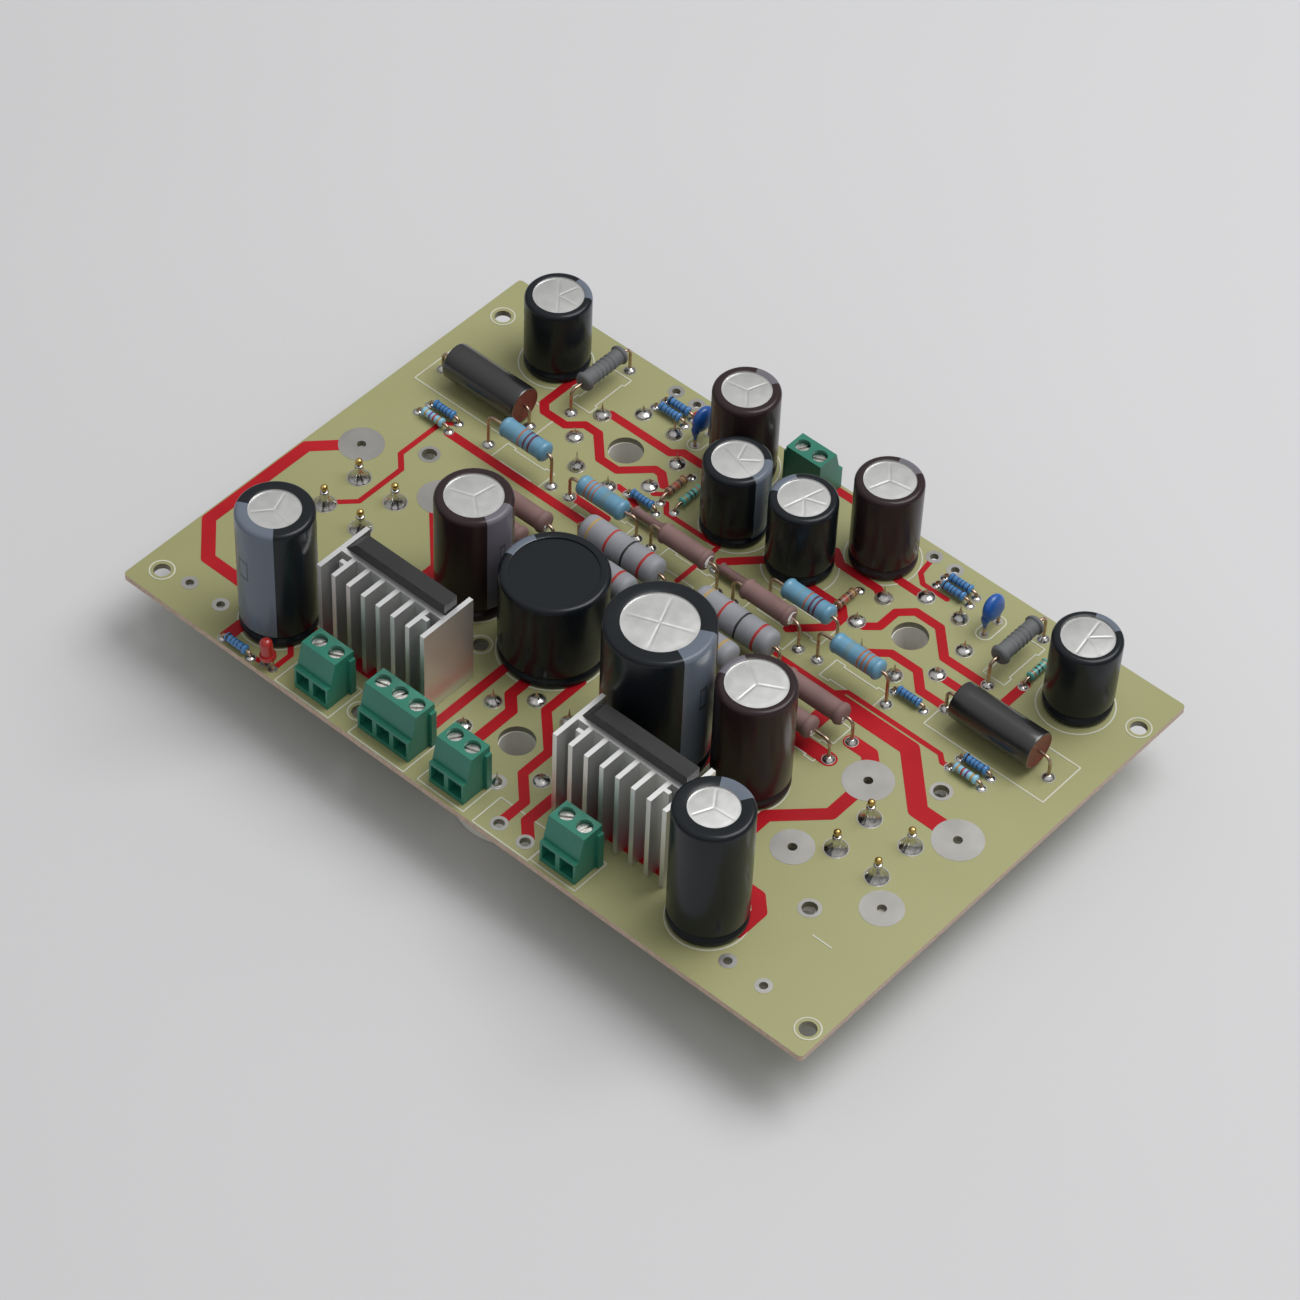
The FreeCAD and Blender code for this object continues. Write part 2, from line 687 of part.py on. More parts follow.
holes = [(x, y, size("lead_radius") + size("lead_clearance")) for x, y in lead_places]
holes += [(x, y, size("corner_hole_radius")) for x, y in CORNER_HOLES]
holes += [(x, y, hole) for x, y, outer, hole in TINNED_DISCS]
holes += PLAIN_HOLES
for x, y in OCTAL_SOCKETS:
    holes.append((x, y, size("octal_board_hole_radius")))
    tag_hole = size("octal_tag_radius") + size("lead_clearance")
    holes += [(u, v, tag_hole) for u, v in octal_places(x, y, size("octal_tag_circle"))]
for x, y, shift in FOUR_PIN_SOCKETS:
    stem_hole = size("four_pin_stem_radius") + size("lead_clearance")
    holes += [(u, v, stem_hole) for u, v in four_pin_places(x, y)]
    holes += [(u, v, size("four_pin_hole_radius")) for u, v in four_pin_screw_places(x, y, shift)]
terminal_legs = []
for poles, x, y, turn, slots in TERMINALS:
    back = -1.0 if turn else 1.0
    terminal_legs += [(u, v + back * strip_leg_y) for u, v in pole_places(poles, x, y, turn)]
holes += [(x, y, strip_hole_radius) for x, y in terminal_legs]

drilling = doc.addObject("Part::Feature", "Drilling")
drilling.Shape = Part.makeCompound([drill(*hole) for hole in holes])
node("circuit_board", cut("CircuitBoard", board_plate(), drilling))


# Copper, tin and print on the board

# Slivers under this area in square millimetres are left out of the copper and the print
SMALLEST_ISLAND = 0.1


def skin(shape, thickness):
    """Solids of the given thickness on the board, one for each flat face."""
    faces = [face for face in shape.Faces if face.Area > SMALLEST_ISLAND]
    solids = [face.extrude(Vector(0, 0, thickness)) for face in faces]
    for solid in solids:
        solid.translate(Vector(0, 0, top()))
    return solids


def track_face(width, points):
    """The face of a track with round ends."""
    line = [Vector(x, y, 0) for x, y in points]
    if len(line) == 2:
        along = (line[1] - line[0]).normalize()
        aside = Vector(-along.y, along.x, 0) * (width / 2)
        tip = along * (width / 2)
        return Part.Face(Part.Wire([
            Part.makeLine(line[0] + aside, line[1] + aside),
            Part.Arc(line[1] + aside, line[1] + tip, line[1] - aside).toShape(),
            Part.makeLine(line[1] - aside, line[0] - aside),
            Part.Arc(line[0] - aside, line[0] - tip, line[0] + aside).toShape(),
        ]))
    return Part.makePolygon(line).makeOffset2D(width / 2, 0, True, False, False)


def disc_face(x, y, radius):
    return Part.Face(Part.Wire(Part.makeCircle(radius, Vector(x, y, 0))))


def ring_face(x, y, outer, inner):
    return disc_face(x, y, outer).cut(disc_face(x, y, inner))


def closed_line_face(points):
    """The face of a printed closed line that runs outside the given points."""
    path = Part.makePolygon([Vector(x, y, 0) for x, y in points + points[:1]])
    return path.makeOffset2D(size("print_line"), 0, True, False, False)


def box_points(left, front, right, back):
    return [(left, front), (right, front), (right, back), (left, back)]


def bone_points(x, y, turned):
    length, waist_length, width, waist_width = PRINTED_BONE
    quarter = [(waist_length, waist_width), (waist_length, width), (length, width)]
    corners = quarter + [(u, -v) for u, v in reversed(quarter)]
    corners += [(-u, -v) for u, v in quarter] + [(-u, v) for u, v in reversed(quarter)]
    return [(x - v, y + u) if turned else (x + u, y + v) for u, v in corners]


def joined(faces):
    """One flat shape of all the given faces, with what overlaps made one."""
    return faces[0].multiFuse(faces[1:]).removeSplitter()


copper = size("copper_thickness")
rings = [(x, y, outer) for x, y, outer, hole in TINNED_DISCS]
rings += [(x, y, pad_sizes.get((x, y), size("pad_radius"))) for x, y in lead_places]
for x, y in OCTAL_SOCKETS:
    rings += [(u, v, size("octal_pad_radius")) for u, v in octal_places(x, y, size("octal_tag_circle"))]
for x, y, shift in FOUR_PIN_SOCKETS:
    screw_ring = size("four_pin_screw_ring_radius")
    rings += [(u, v, screw_ring) for u, v in four_pin_screw_places(x, y, shift)]
    rings += [(u, v, size("four_pin_pad_radius")) for u, v in four_pin_places(x, y)]
hole_sizes = {(x, y): radius for x, y, radius in holes}
tin = Part.makeCompound([ring_face(x, y, outer, hole_sizes[(x, y)]) for x, y, outer in rings])
bare_holes = [hole for hole in holes if hole[:2] not in [ring[:2] for ring in rings]]
pads_and_holes = Part.makeCompound([disc_face(*spot) for spot in rings + bare_holes])
tracks = [track_face(width, points) for width, points in TRACKS]
tracks.append(Part.Face(Part.makePolygon([Vector(x, y, 0) for x, y in COPPER_POUR + COPPER_POUR[:1]])))
copper_face = joined(tracks).cut(pads_and_holes)

line = size("print_line")
margin = PRINTED_HOLE_MARGIN
faces = [ring_face(x, y, radius, radius - line) for x, y, radius in PRINTED_CAN_CIRCLES]
faces += [ring_face(x, y, radius + margin, radius + margin - line) for x, y, radius in PLAIN_HOLES]
corner_ring = size("corner_hole_radius") + PRINTED_CORNER_MARGIN
faces += [ring_face(x, y, corner_ring, corner_ring - line) for x, y in CORNER_HOLES]
faces += [closed_line_face(box_points(*edges)) for edges in PRINTED_BOXES]
faces += [closed_line_face(bone_points(x, y, False)) for x, y in PRINTED_BONES_X]
faces += [closed_line_face(bone_points(x, y, True)) for x, y in PRINTED_BONES_Y]
stadium_width, stadium_length = PRINTED_STADIUM
for first, second, lean in DISC_CAPACITORS:
    x = first[0]
    middle = (first[1] + second[1]) / 2
    reach = stadium_length - stadium_width
    ends = [(x, middle - reach), (x, middle + reach)]
    faces.append(track_face(2 * stadium_width, ends).cut(track_face(2 * (stadium_width - line), ends)))
faces.append(track_face(line, PRINTED_DASH))
print_face = joined(faces).cut(pads_and_holes).cut(copper_face)
group("tinned_pads", skin(tin, copper))
group("copper_traces", skin(copper_face, copper))
group("silkscreen", skin(print_face, size("print_thickness")))


# Solder

def solder_cone(x, y, core):
    """A fillet of solder on the underside, round a lead of the given radius."""
    rise = size("lead_tail") - size("lead_tip")
    low = size("stand_height") - rise
    cone = Part.makeCone(core + size("solder_step"), size("solder_radius"), rise, Vector(x, y, low))
    return cone.cut(Part.makeCylinder(core, rise + 2 * OVERRUN, Vector(x, y, low - OVERRUN)))


def socket_blob(x, y, base, rise):
    """A blob of solder on a socket tag, drawn out to a tip."""
    low = top() + size("copper_thickness")
    height = size("octal_blob_height")
    waist = size("octal_tag_radius") + size("solder_step")
    blob = Part.makeCone(base, waist, height, Vector(x, y, low))
    tip = Part.makeCone(waist, size("solder_tip_radius"), rise - height, Vector(x, y, low + height))
    tag_height = size("octal_tag_rise") + OVERRUN
    tag = Part.makeCylinder(size("octal_tag_radius"), tag_height, Vector(x, y, top() - OVERRUN))
    return blob.fuse(tip).cut(tag)


def pin_fillet(x, y):
    """A wide fillet of solder round a pin of a four-pin socket."""
    stem = size("four_pin_stem_radius")
    rise = size("four_pin_fillet_rise")
    low = top() + size("copper_thickness")
    waist = stem + size("solder_step")
    cone = Part.makeCone(size("four_pin_fillet_radius"), waist, rise, Vector(x, y, low))
    return cone.cut(Part.makeCylinder(stem, rise + 2 * OVERRUN, Vector(x, y, low - OVERRUN)))


# Heights of the drawn-out solder tips of a socket, taken in turn
TIP_RISES = (3.4, 4.6, 2.9, 4.1, 3.1, 5.0, 3.7, 2.6)
# Socket and tag of each blob that is small for want of room behind a terminal block
CLOSE_BLOBS = [(2, 5), (2, 6)]

solder = upper_joints
solder += [solder_cone(x, y, size("lead_radius")) for x, y in lead_places]
solder += [solder_cone(x, y, strip_hole_radius) for x, y in terminal_legs]
for socket, (x, y) in enumerate(OCTAL_SOCKETS):
    for tag, (u, v) in enumerate(octal_places(x, y, size("octal_tag_circle"))):
        kind = "octal_close_blob_radius" if (socket, tag) in CLOSE_BLOBS else "octal_blob_radius"
        solder.append(socket_blob(u, v, size(kind), TIP_RISES[tag]))
for x, y, shift in FOUR_PIN_SOCKETS:
    solder += [pin_fillet(u, v) for u, v in four_pin_places(x, y)]
group("solder_joints", solder)


# Terminal blocks

CAVITY_BACK = "cage_depth / 2 + cage_clearance"


def terminal_housing(number, poles, x, y, turn):
    """The moulded green housing, with a well, a cage cavity and a wire mouth for each pole."""
    housing = body(f"TerminalHousing{number}")
    profile = outline(housing, "YZ_Plane", f"TerminalProfile{number}", [
        ("terminal_back", "0"),
        ("terminal_back", "terminal_height"),
        ("-terminal_top_front", "terminal_height"),
        ("-terminal_ledge_front", "terminal_ledge_height"),
        ("-terminal_base_front", "0"),
    ])
    pad = housing.newObject("PartDesign::Pad", f"TerminalPad{number}")
    pad.Profile = profile
    bind(pad, Length=f"{poles} * terminal_pitch")
    pad.SideType = "Symmetric"
    primitive(housing, "AdditiveBox", f"TerminalRib{number}", f"{poles} * terminal_pitch / 2",
              "terminal_back - terminal_rib_depth - terminal_rib_inset", "0",
              Length="terminal_rib_proud", Width="terminal_rib_depth", Height="terminal_rib_height")
    for pole in range(poles):
        middle = f"{pole - (poles - 1) / 2} * terminal_pitch"
        tag = f"{number}{pole + 1}"
        primitive(housing, "SubtractiveCylinder", "Well" + tag, middle, "0", "well_floor",
                  Radius="well_radius", Height="terminal_height")
        primitive(housing, "SubtractiveCylinder", "ScrewHole" + tag, middle, "0", "cage_rest",
                  Radius="screw_shank_radius + screw_running_gap", Height="well_floor")
        primitive(housing, "SubtractiveBox", "Cavity" + tag,
                  middle + " - cage_width / 2 - cage_clearance", "-cage_depth / 2 - cage_clearance",
                  "cage_rest - cage_clearance",
                  Length="cage_width + 2 * cage_clearance", Width="cage_depth + 2 * cage_clearance",
                  Height="well_floor - shelf_thickness - cage_rest + cage_clearance")
        primitive(housing, "SubtractiveBox", "Mouth" + tag,
                  middle + " - mouth_width / 2", "-terminal_base_front - 1", "mouth_sill",
                  Length="mouth_width", Width="mouth_depth + 1", Height="mouth_height")
        primitive(housing, "SubtractiveBox", "Throat" + tag,
                  middle + " - cage_width / 2 + cage_wall", "-terminal_base_front",
                  "cage_rest + cage_floor",
                  Length="cage_width - 2 * cage_wall", Width="terminal_base_front",
                  Height="cage_height - cage_floor - cage_roof")
        primitive(housing, "SubtractiveBox", "LegSlot" + tag,
                  middle + " - strip_leg_width / 2", "0", "-1",
                  Length="strip_leg_width", Width=CAVITY_BACK + " + strip_leg_thickness",
                  Height="cage_rest + cage_height - cage_roof + 1")
    housing.Placement = Placement(Vector(x, y, 0), Rotation(Vector(0, 0, 1), turn))
    housing.setExpression("Placement.Base.z", bound(SEAT))
    node(f"terminal_housing_{number}", housing)


def contact_strip():
    """The fixed strip over the wire, with its leg down through the board."""
    strip = body("ContactStrip")
    bar_low = "cage_rest + cage_height - cage_roof - strip_gap - strip_thickness"
    primitive(strip, "AdditiveBox", "ContactBar", "-strip_width / 2", "-cage_depth / 2", bar_low,
              Length="strip_width", Width="cage_depth + cage_clearance",
              Height="strip_thickness")
    primitive(strip, "AdditiveBox", "ContactLeg", "-strip_leg_width / 2", CAVITY_BACK,
              "-print_thickness - board_thickness - strip_tail",
              Length="strip_leg_width", Width="strip_leg_thickness",
              Height="print_thickness + board_thickness + strip_tail + " + bar_low + " + strip_thickness")
    return strip


def clamp_screw(number, x, y, slot_angle):
    """A slotted screw that turns in place under its housing's shelf."""
    tag = str(number)
    head = cylinder("ScrewHead" + tag, "screw_head_radius", "screw_head_height",
                    z="well_floor + screw_head_gap")
    shank_low = "cage_rest + cage_height - cage_roof + screw_tip_gap"
    shank_top = "well_floor + screw_head_gap + screw_head_height / 2"
    shank_height = f"{shank_top} - ({shank_low})"
    shank = cylinder("ScrewShank" + tag, "screw_shank_radius", shank_height, z=shank_low)
    slot = box("ScrewSlot" + tag, "4 * screw_head_radius", "screw_slot_width", "2 * screw_slot_depth",
               "-2 * screw_head_radius", "-screw_slot_width / 2",
               "well_floor + screw_head_gap + screw_head_height - screw_slot_depth")
    screw = cut("ClampScrew" + tag, fuse("ScrewBlank" + tag, [head, shank]), slot)
    screw.Placement = Placement(Vector(x, y, 0), Rotation(Vector(0, 0, 1), slot_angle))
    screw.setExpression("Placement.Base.z", bound(SEAT))
    node(f"clamp_screw_{number}", screw)


def wire_cage(number, x, y):
    """The box that rises on the screw and clamps the wire under the fixed strip."""
    cage = body(f"WireCage{number}")
    primitive(cage, "AdditiveBox", f"CageBlock{number}",
              "-cage_width / 2", "-cage_depth / 2", "cage_rest",
              Length="cage_width", Width="cage_depth", Height="cage_height")
    primitive(cage, "SubtractiveBox", f"CageWindow{number}", "-cage_width / 2 + cage_wall", "-cage_depth",
              "cage_rest + cage_floor",
              Length="cage_width - 2 * cage_wall", Width="2 * cage_depth",
              Height="cage_height - cage_floor - cage_roof")
    primitive(cage, "SubtractiveCylinder", f"CageThread{number}", "0", "0", "cage_rest + cage_floor + 1",
              Radius="screw_shank_radius + screw_running_gap", Height="cage_height")
    cage.Placement = Placement(Vector(x, y, 0), Rotation())
    cage.setExpression("Placement.Base.z", bound(SEAT))
    node(f"wire_cage_{number}", cage)


strip = contact_strip()
doc.recompute()
strips = []
pole_number = 0
for number, (poles, x, y, turn, slots) in enumerate(TERMINALS, start=1):
    terminal_housing(number, poles, x, y, turn)
    for (u, v), slot_angle in zip(pole_places(poles, x, y, turn), slots):
        pole_number += 1
        clamp_screw(pole_number, u, v, slot_angle)
        wire_cage(pole_number, u, v)
        strips.append(moved(strip.Shape, u, v, top() + size("print_thickness"), turn))
group("terminal_contacts", strips)


# Electrolytic capacitors

def capacitor(number, x, y, kind, height, lean):
    """A crimped can with a rounded rim and a shallow dish round the bare metal on top."""
    radius = f"can_{kind}_radius"
    can = body(f"Capacitor{number}")
    blank = primitive(can, "AdditiveCylinder", f"CanBlank{number}", Radius=radius, Height=str(height))
    rounded(can, blank, f"CanRounding{number}", size(radius), "can_round")
    primitive(can, "SubtractiveTorus", f"CanGroove{number}", z="can_groove_rise",
              Radius1=radius + " + can_groove_radius - can_groove_depth", Radius2="can_groove_radius")
    primitive(can, "SubtractiveCylinder", f"CanDish{number}", z=f"{height} - can_dish_depth",
              Radius=radius + " - can_dish_rim", Height="2 * can_dish_depth")
    can.Placement = Placement(Vector(x, y, 0), Rotation(Vector(0, 1, 0), lean))
    lift = f"{math.sin(math.radians(lean)):.6f} * {radius}"
    can.setExpression("Placement.Base.z", bound(f"{SEAT} + {lift}"))
    node(f"capacitor_{number}", can)


for entry in CAPACITORS:
    capacitor(*entry)


# Heatsinks and rectifiers

def heatsink(side, first_fin, base_front):
    """An extrusion: a base plate, eight fins, deeper ears at both ends and two lipped fins."""
    fins = []
    last_fin = f"{first_fin} + 7 * sink_fin_pitch"
    for step in range(8):
        outer = step in (0, 7)
        depth = "sink_fin_depth + sink_base_thickness"
        if outer:
            depth += " + sink_ear_depth"
        fins.append(box(f"Fin{side}{step}", "sink_fin_thickness", depth, "sink_height",
                        f"{first_fin} + {step} * sink_fin_pitch", f"{base_front} - sink_fin_depth", SEAT))
    fins.append(box("SinkBase" + side, "7 * sink_fin_pitch + sink_fin_thickness", "sink_base_thickness",
                    "sink_height", str(first_fin), str(base_front), SEAT))
    lip_y = f"{base_front} - sink_lip_gap - sink_lip_thickness"
    fins.append(box("SinkLipA" + side, "sink_lip_width", "sink_lip_thickness", "sink_height",
                    f"{first_fin} + sink_fin_pitch - sink_lip_width", lip_y, SEAT))
    fins.append(box("SinkLipB" + side, "sink_lip_width", "sink_lip_thickness", "sink_height",
                    last_fin + " - sink_fin_pitch + sink_fin_thickness", lip_y, SEAT))
    node("heatsink_" + side, fuse("Heatsink" + side.title(), fins))


def rectifier(side, first_fin, base_front):
    """A flat block with one clipped upper corner, held against the back of the base plate."""
    block = body("Rectifier" + side.title())
    blank = primitive(block, "AdditiveBox", "RectifierBlank" + side,
                      f"{first_fin} + sink_fin_thickness + rectifier_end_gap",
                      f"{base_front} + sink_base_thickness", BOARD_TOP + " + rectifier_rise",
                      Length="7 * sink_fin_pitch - sink_fin_thickness - 2 * rectifier_end_gap",
                      Width="rectifier_thickness", Height="rectifier_height")
    doc.recompute()
    bounds = blank.Shape.BoundBox
    spot = Vector(bounds.XMin, bounds.Center.y, bounds.ZMax)
    corner = [f"Edge{number}" for number, edge in enumerate(blank.Shape.Edges, start=1)
              if edge.CenterOfMass.distanceToPoint(spot) < NEAR]
    clip = block.newObject("PartDesign::Chamfer", "RectifierClip" + side)
    clip.Base = (blank, corner)
    bind(clip, Size="rectifier_chamfer")
    node("rectifier_" + side, block)


for entry in HEATSINKS:
    heatsink(*entry)
    rectifier(*entry)


# Axial components

def axial_body(name, length, radius, rounding):
    """A plain round body along X, centred, with rounded ends."""
    item = body(name)
    turn = Rotation(Vector(0, 1, 0), 90)
    blank = primitive(item, "AdditiveCylinder", name + "Blank", f"-({length}) / 2", rotation=turn,
                      Radius=radius, Height=length)
    rounded(item, blank, name + "Ends", size(radius), rounding)
    doc.recompute()
    return item


def waisted_body(name, prefix):
    """A resistor body along X with two thicker rounded ends and a slimmer middle."""
    item = body(name)
    turn = Rotation(Vector(0, 1, 0), 90)
    radius = prefix + "_end_radius"
    first = primitive(item, "AdditiveCylinder", name + "First", f"-{prefix}_length / 2", rotation=turn,
                      Radius=radius, Height=prefix + "_end_length")
    primitive(item, "AdditiveCylinder", name + "Waist", f"-{prefix}_length / 2 + {prefix}_end_length / 2",
              rotation=turn, Radius=prefix + "_waist_radius",
              Height=f"{prefix}_length - {prefix}_end_length")
    last = primitive(item, "AdditiveCylinder", name + "Last",
                     f"{prefix}_length / 2 - {prefix}_end_length", rotation=turn,
                     Radius=radius, Height=prefix + "_end_length")
    doc.recompute()
    rounded(item, last, name + "Rounding", size(radius), "resistor_round", size(prefix + "_length") / 2)
    doc.recompute()
    return item


def along_pads(prototype, places):
    """Copies of a body, laid level along the line of their pads."""
    copies = []
    for x, y, rise, first, second in places:
        along = Vector(second[0] - first[0], second[1] - first[1], 0)
        turn = 90.0 if abs(along.y) > abs(along.x) else 0.0
        copies.append(moved(prototype.Shape, x, y, top() + rise, turn))
    return copies


film = axial_body("FilmCapacitor", "film_length", "film_radius", "film_round")
blue = waisted_body("BlueResistor", "blue")
cement = axial_body("CementResistor", "cement_length", "cement_radius", "resistor_round")
long_cement = axial_body("LongCementResistor", "long_cement_length", "long_cement_radius",
                         "resistor_round")
slim_cement = axial_body("SlimCementResistor", "slim_cement_length", "slim_cement_radius",
                         "resistor_round")
pale = axial_body("PaleResistor", "pale_length", "pale_radius", "resistor_round")
wound = axial_body("WoundResistor", "wound_length", "wound_radius", "resistor_round")
quarter = waisted_body("QuarterResistor", "quarter")

group("film_capacitors", along_pads(film, FILM_CAPACITORS))
group("blue_resistors", along_pads(blue, BLUE_RESISTORS))
cement_bodies = along_pads(cement, CEMENT_RESISTORS)
cement_bodies += along_pads(long_cement, LONG_CEMENT_RESISTORS)
cement_bodies += along_pads(slim_cement, SLIM_CEMENT_RESISTORS)
group("cement_resistors", cement_bodies)
group("grey_power_resistors", along_pads(pale, PALE_RESISTORS) + along_pads(wound, WOUND_RESISTORS))
group("small_resistors", along_pads(quarter, QUARTER_PLACES))


# Disc capacitors and the light-emitting diode

disc = body("DiscCapacitor")
disc_blank = primitive(disc, "AdditiveCylinder", "DiscBlank", "-disc_thickness / 2",
                       rotation=Rotation(Vector(0, 1, 0), 90), Radius="disc_radius",
                       Height="disc_thickness")
rounded(disc, disc_blank, "DiscRounding", size("disc_radius"), "disc_round")
doc.recompute()
discs = []
for first, second, lean in DISC_CAPACITORS:
    middle = (first[1] + second[1]) / 2
    discs.append(moved(disc.Shape, first[0], middle, top() + size("disc_height"), -lean, Vector(0, 1, 0)))
group("disc_capacitors", discs)

led = body("Led")
primitive(led, "AdditiveCylinder", "LedFlange", Radius="led_flange_radius", Height="led_flange_height")
primitive(led, "AdditiveCylinder", "LedBarrel", Radius="led_radius", Height="led_length")
primitive(led, "AdditiveSphere", "LedDome", z="led_length", Radius="led_radius")
led.Placement = Placement(Vector(LED_PLACE[0], LED_PLACE[1], 0), Rotation(Vector(0, 1, 0), -LED_LEAN))
led.setExpression("Placement.Base.z", bound(BOARD_TOP + " + led_rise"))
node("led", led)


# Valve sockets

def ring_of_holes(owner, name, hole, count):
    """Repeats a hole round the middle of a socket."""
    doc.recompute()
    pattern = owner.newObject("PartDesign::PolarPattern", name)
    pattern.Originals = [hole]
    axis = [item for item in owner.Origin.OriginFeatures if item.Role == "Z_Axis"][0]
    pattern.Axis = (axis, [""])
    pattern.Angle = 360.0
    pattern.Occurrences = count
    owner.Tip = pattern
    doc.recompute()
    return pattern


octal = body("OctalSocket")
primitive(octal, "AdditiveCylinder", "OctalBlank", Radius="octal_radius",
          Height="stand_height - octal_foot_height")
primitive(octal, "AdditiveCylinder", "OctalFoot", Radius="octal_foot_radius", Height="stand_height")
primitive(octal, "SubtractiveCylinder", "OctalKey", z="-1", Radius="octal_key_radius",
          Height="stand_height + 2")
octal_hole = primitive(octal, "SubtractiveCylinder", "OctalHole",
                       f"{math.cos(FIRST_HOLE):.6f} * octal_pin_circle",
                       f"{math.sin(FIRST_HOLE):.6f} * octal_pin_circle", "-1",
                       Radius="octal_pin_radius", Height="octal_pin_depth + 1")
ring_of_holes(octal, "OctalHoles", octal_hole, 8)
group("octal_sockets", [moved(octal.Shape, x, y, 0) for x, y in OCTAL_SOCKETS])

four_pin = body("FourPinSocket")
primitive(four_pin, "AdditiveCylinder", "FourPinBlank", z="-four_pin_height", Radius="four_pin_radius",
          Height="four_pin_height")
primitive(four_pin, "AdditiveBox", "FourPinEars", "-four_pin_ear_width / 2", "-four_pin_ear_length / 2",
          "-four_pin_ear_thickness",
          Length="four_pin_ear_width", Width="four_pin_ear_length", Height="four_pin_ear_thickness")
for side, sign in (("Front", "-"), ("Back", "")):
    primitive(four_pin, "SubtractiveCylinder", "FourPinScrew" + side,
              "0", f"{sign}four_pin_hole_spacing / 2", "-four_pin_height",
              Radius="four_pin_hole_radius", Height="2 * four_pin_height")
bore = primitive(four_pin, "SubtractiveCylinder", "FourPinBore", "four_pin_spread", "four_pin_spread",
                 "-four_pin_height - 1", Radius="four_pin_bore_radius", Height="four_pin_bore_depth + 1")
ring_of_holes(four_pin, "FourPinBores", bore, 4)
sockets = [moved(four_pin.Shape, x, y, size("stand_height")) for x, y, shift in FOUR_PIN_SOCKETS]
group("four_pin_sockets", sockets)

contacts = []
for x, y in OCTAL_SOCKETS:
    for u, v in octal_places(x, y, size("octal_tag_circle")):
        low = size("stand_height") - size("octal_foot_height")
        height = top() + size("octal_tag_rise") - low
        contacts.append(Part.makeCylinder(size("octal_tag_radius"), height, Vector(u, v, low)))
    for u, v in octal_places(x, y, size("octal_pin_circle")):
        low = size("octal_pin_depth") - size("clip_length")
        tube = Part.makeCylinder(size("octal_pin_radius"), size("clip_length"), Vector(u, v, low))
        bore_radius = size("octal_pin_radius") - size("clip_wall")
        contacts.append(tube.cut(Part.makeCylinder(bore_radius, size("clip_length"), Vector(u, v, low))))
for x, y, shift in FOUR_PIN_SOCKETS:
    for u, v in four_pin_places(x, y):
        low = size("stand_height")
        high = top() + size("four_pin_stem_rise")
        stem = Part.makeCylinder(size("four_pin_stem_radius"), high - low, Vector(u, v, low))
        ball = Part.makeSphere(size("four_pin_ball_radius"), Vector(u, v, high))
        contacts.append(stem.fuse(ball))
group("socket_contacts", contacts)


# Checks before anything is written

doc.recompute()
for item in doc.Objects:
    if "Invalid" in item.State or "Error" in item.State:
        raise RuntimeError(f"{item.Label} did not build: {item.State}")
for label, item in nodes.items():
    if item.Shape.isNull() or not item.Shape.isValid():
        raise RuntimeError(f"{label} has no valid shape")

os.makedirs("parts", exist_ok=True)
for label, item in nodes.items():
    item.Shape.exportStep(f"parts/{label}.step")
print(len(nodes), "sub-parts written")
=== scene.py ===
import math

import bpy
from mathutils import Euler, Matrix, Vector

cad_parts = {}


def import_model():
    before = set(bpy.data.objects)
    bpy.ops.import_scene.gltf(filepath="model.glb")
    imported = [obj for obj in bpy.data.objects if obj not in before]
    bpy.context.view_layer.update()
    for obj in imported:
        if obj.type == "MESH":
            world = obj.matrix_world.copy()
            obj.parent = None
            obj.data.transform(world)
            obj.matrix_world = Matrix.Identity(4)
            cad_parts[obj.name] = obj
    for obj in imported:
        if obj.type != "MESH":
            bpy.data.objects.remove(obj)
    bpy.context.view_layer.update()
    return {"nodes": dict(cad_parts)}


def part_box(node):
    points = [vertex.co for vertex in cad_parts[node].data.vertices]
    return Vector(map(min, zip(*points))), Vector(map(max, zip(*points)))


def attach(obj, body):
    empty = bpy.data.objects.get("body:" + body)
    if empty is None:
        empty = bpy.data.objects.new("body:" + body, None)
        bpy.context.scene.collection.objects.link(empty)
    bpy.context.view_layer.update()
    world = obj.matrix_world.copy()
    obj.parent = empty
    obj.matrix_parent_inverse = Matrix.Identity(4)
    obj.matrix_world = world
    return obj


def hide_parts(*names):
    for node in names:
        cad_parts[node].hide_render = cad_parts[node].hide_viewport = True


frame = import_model()

MM = 0.001
BOARD = "board"
board_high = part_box("circuit_board")[1]
TOP = board_high.z


# Node materials, with linear colours and sizes in metres

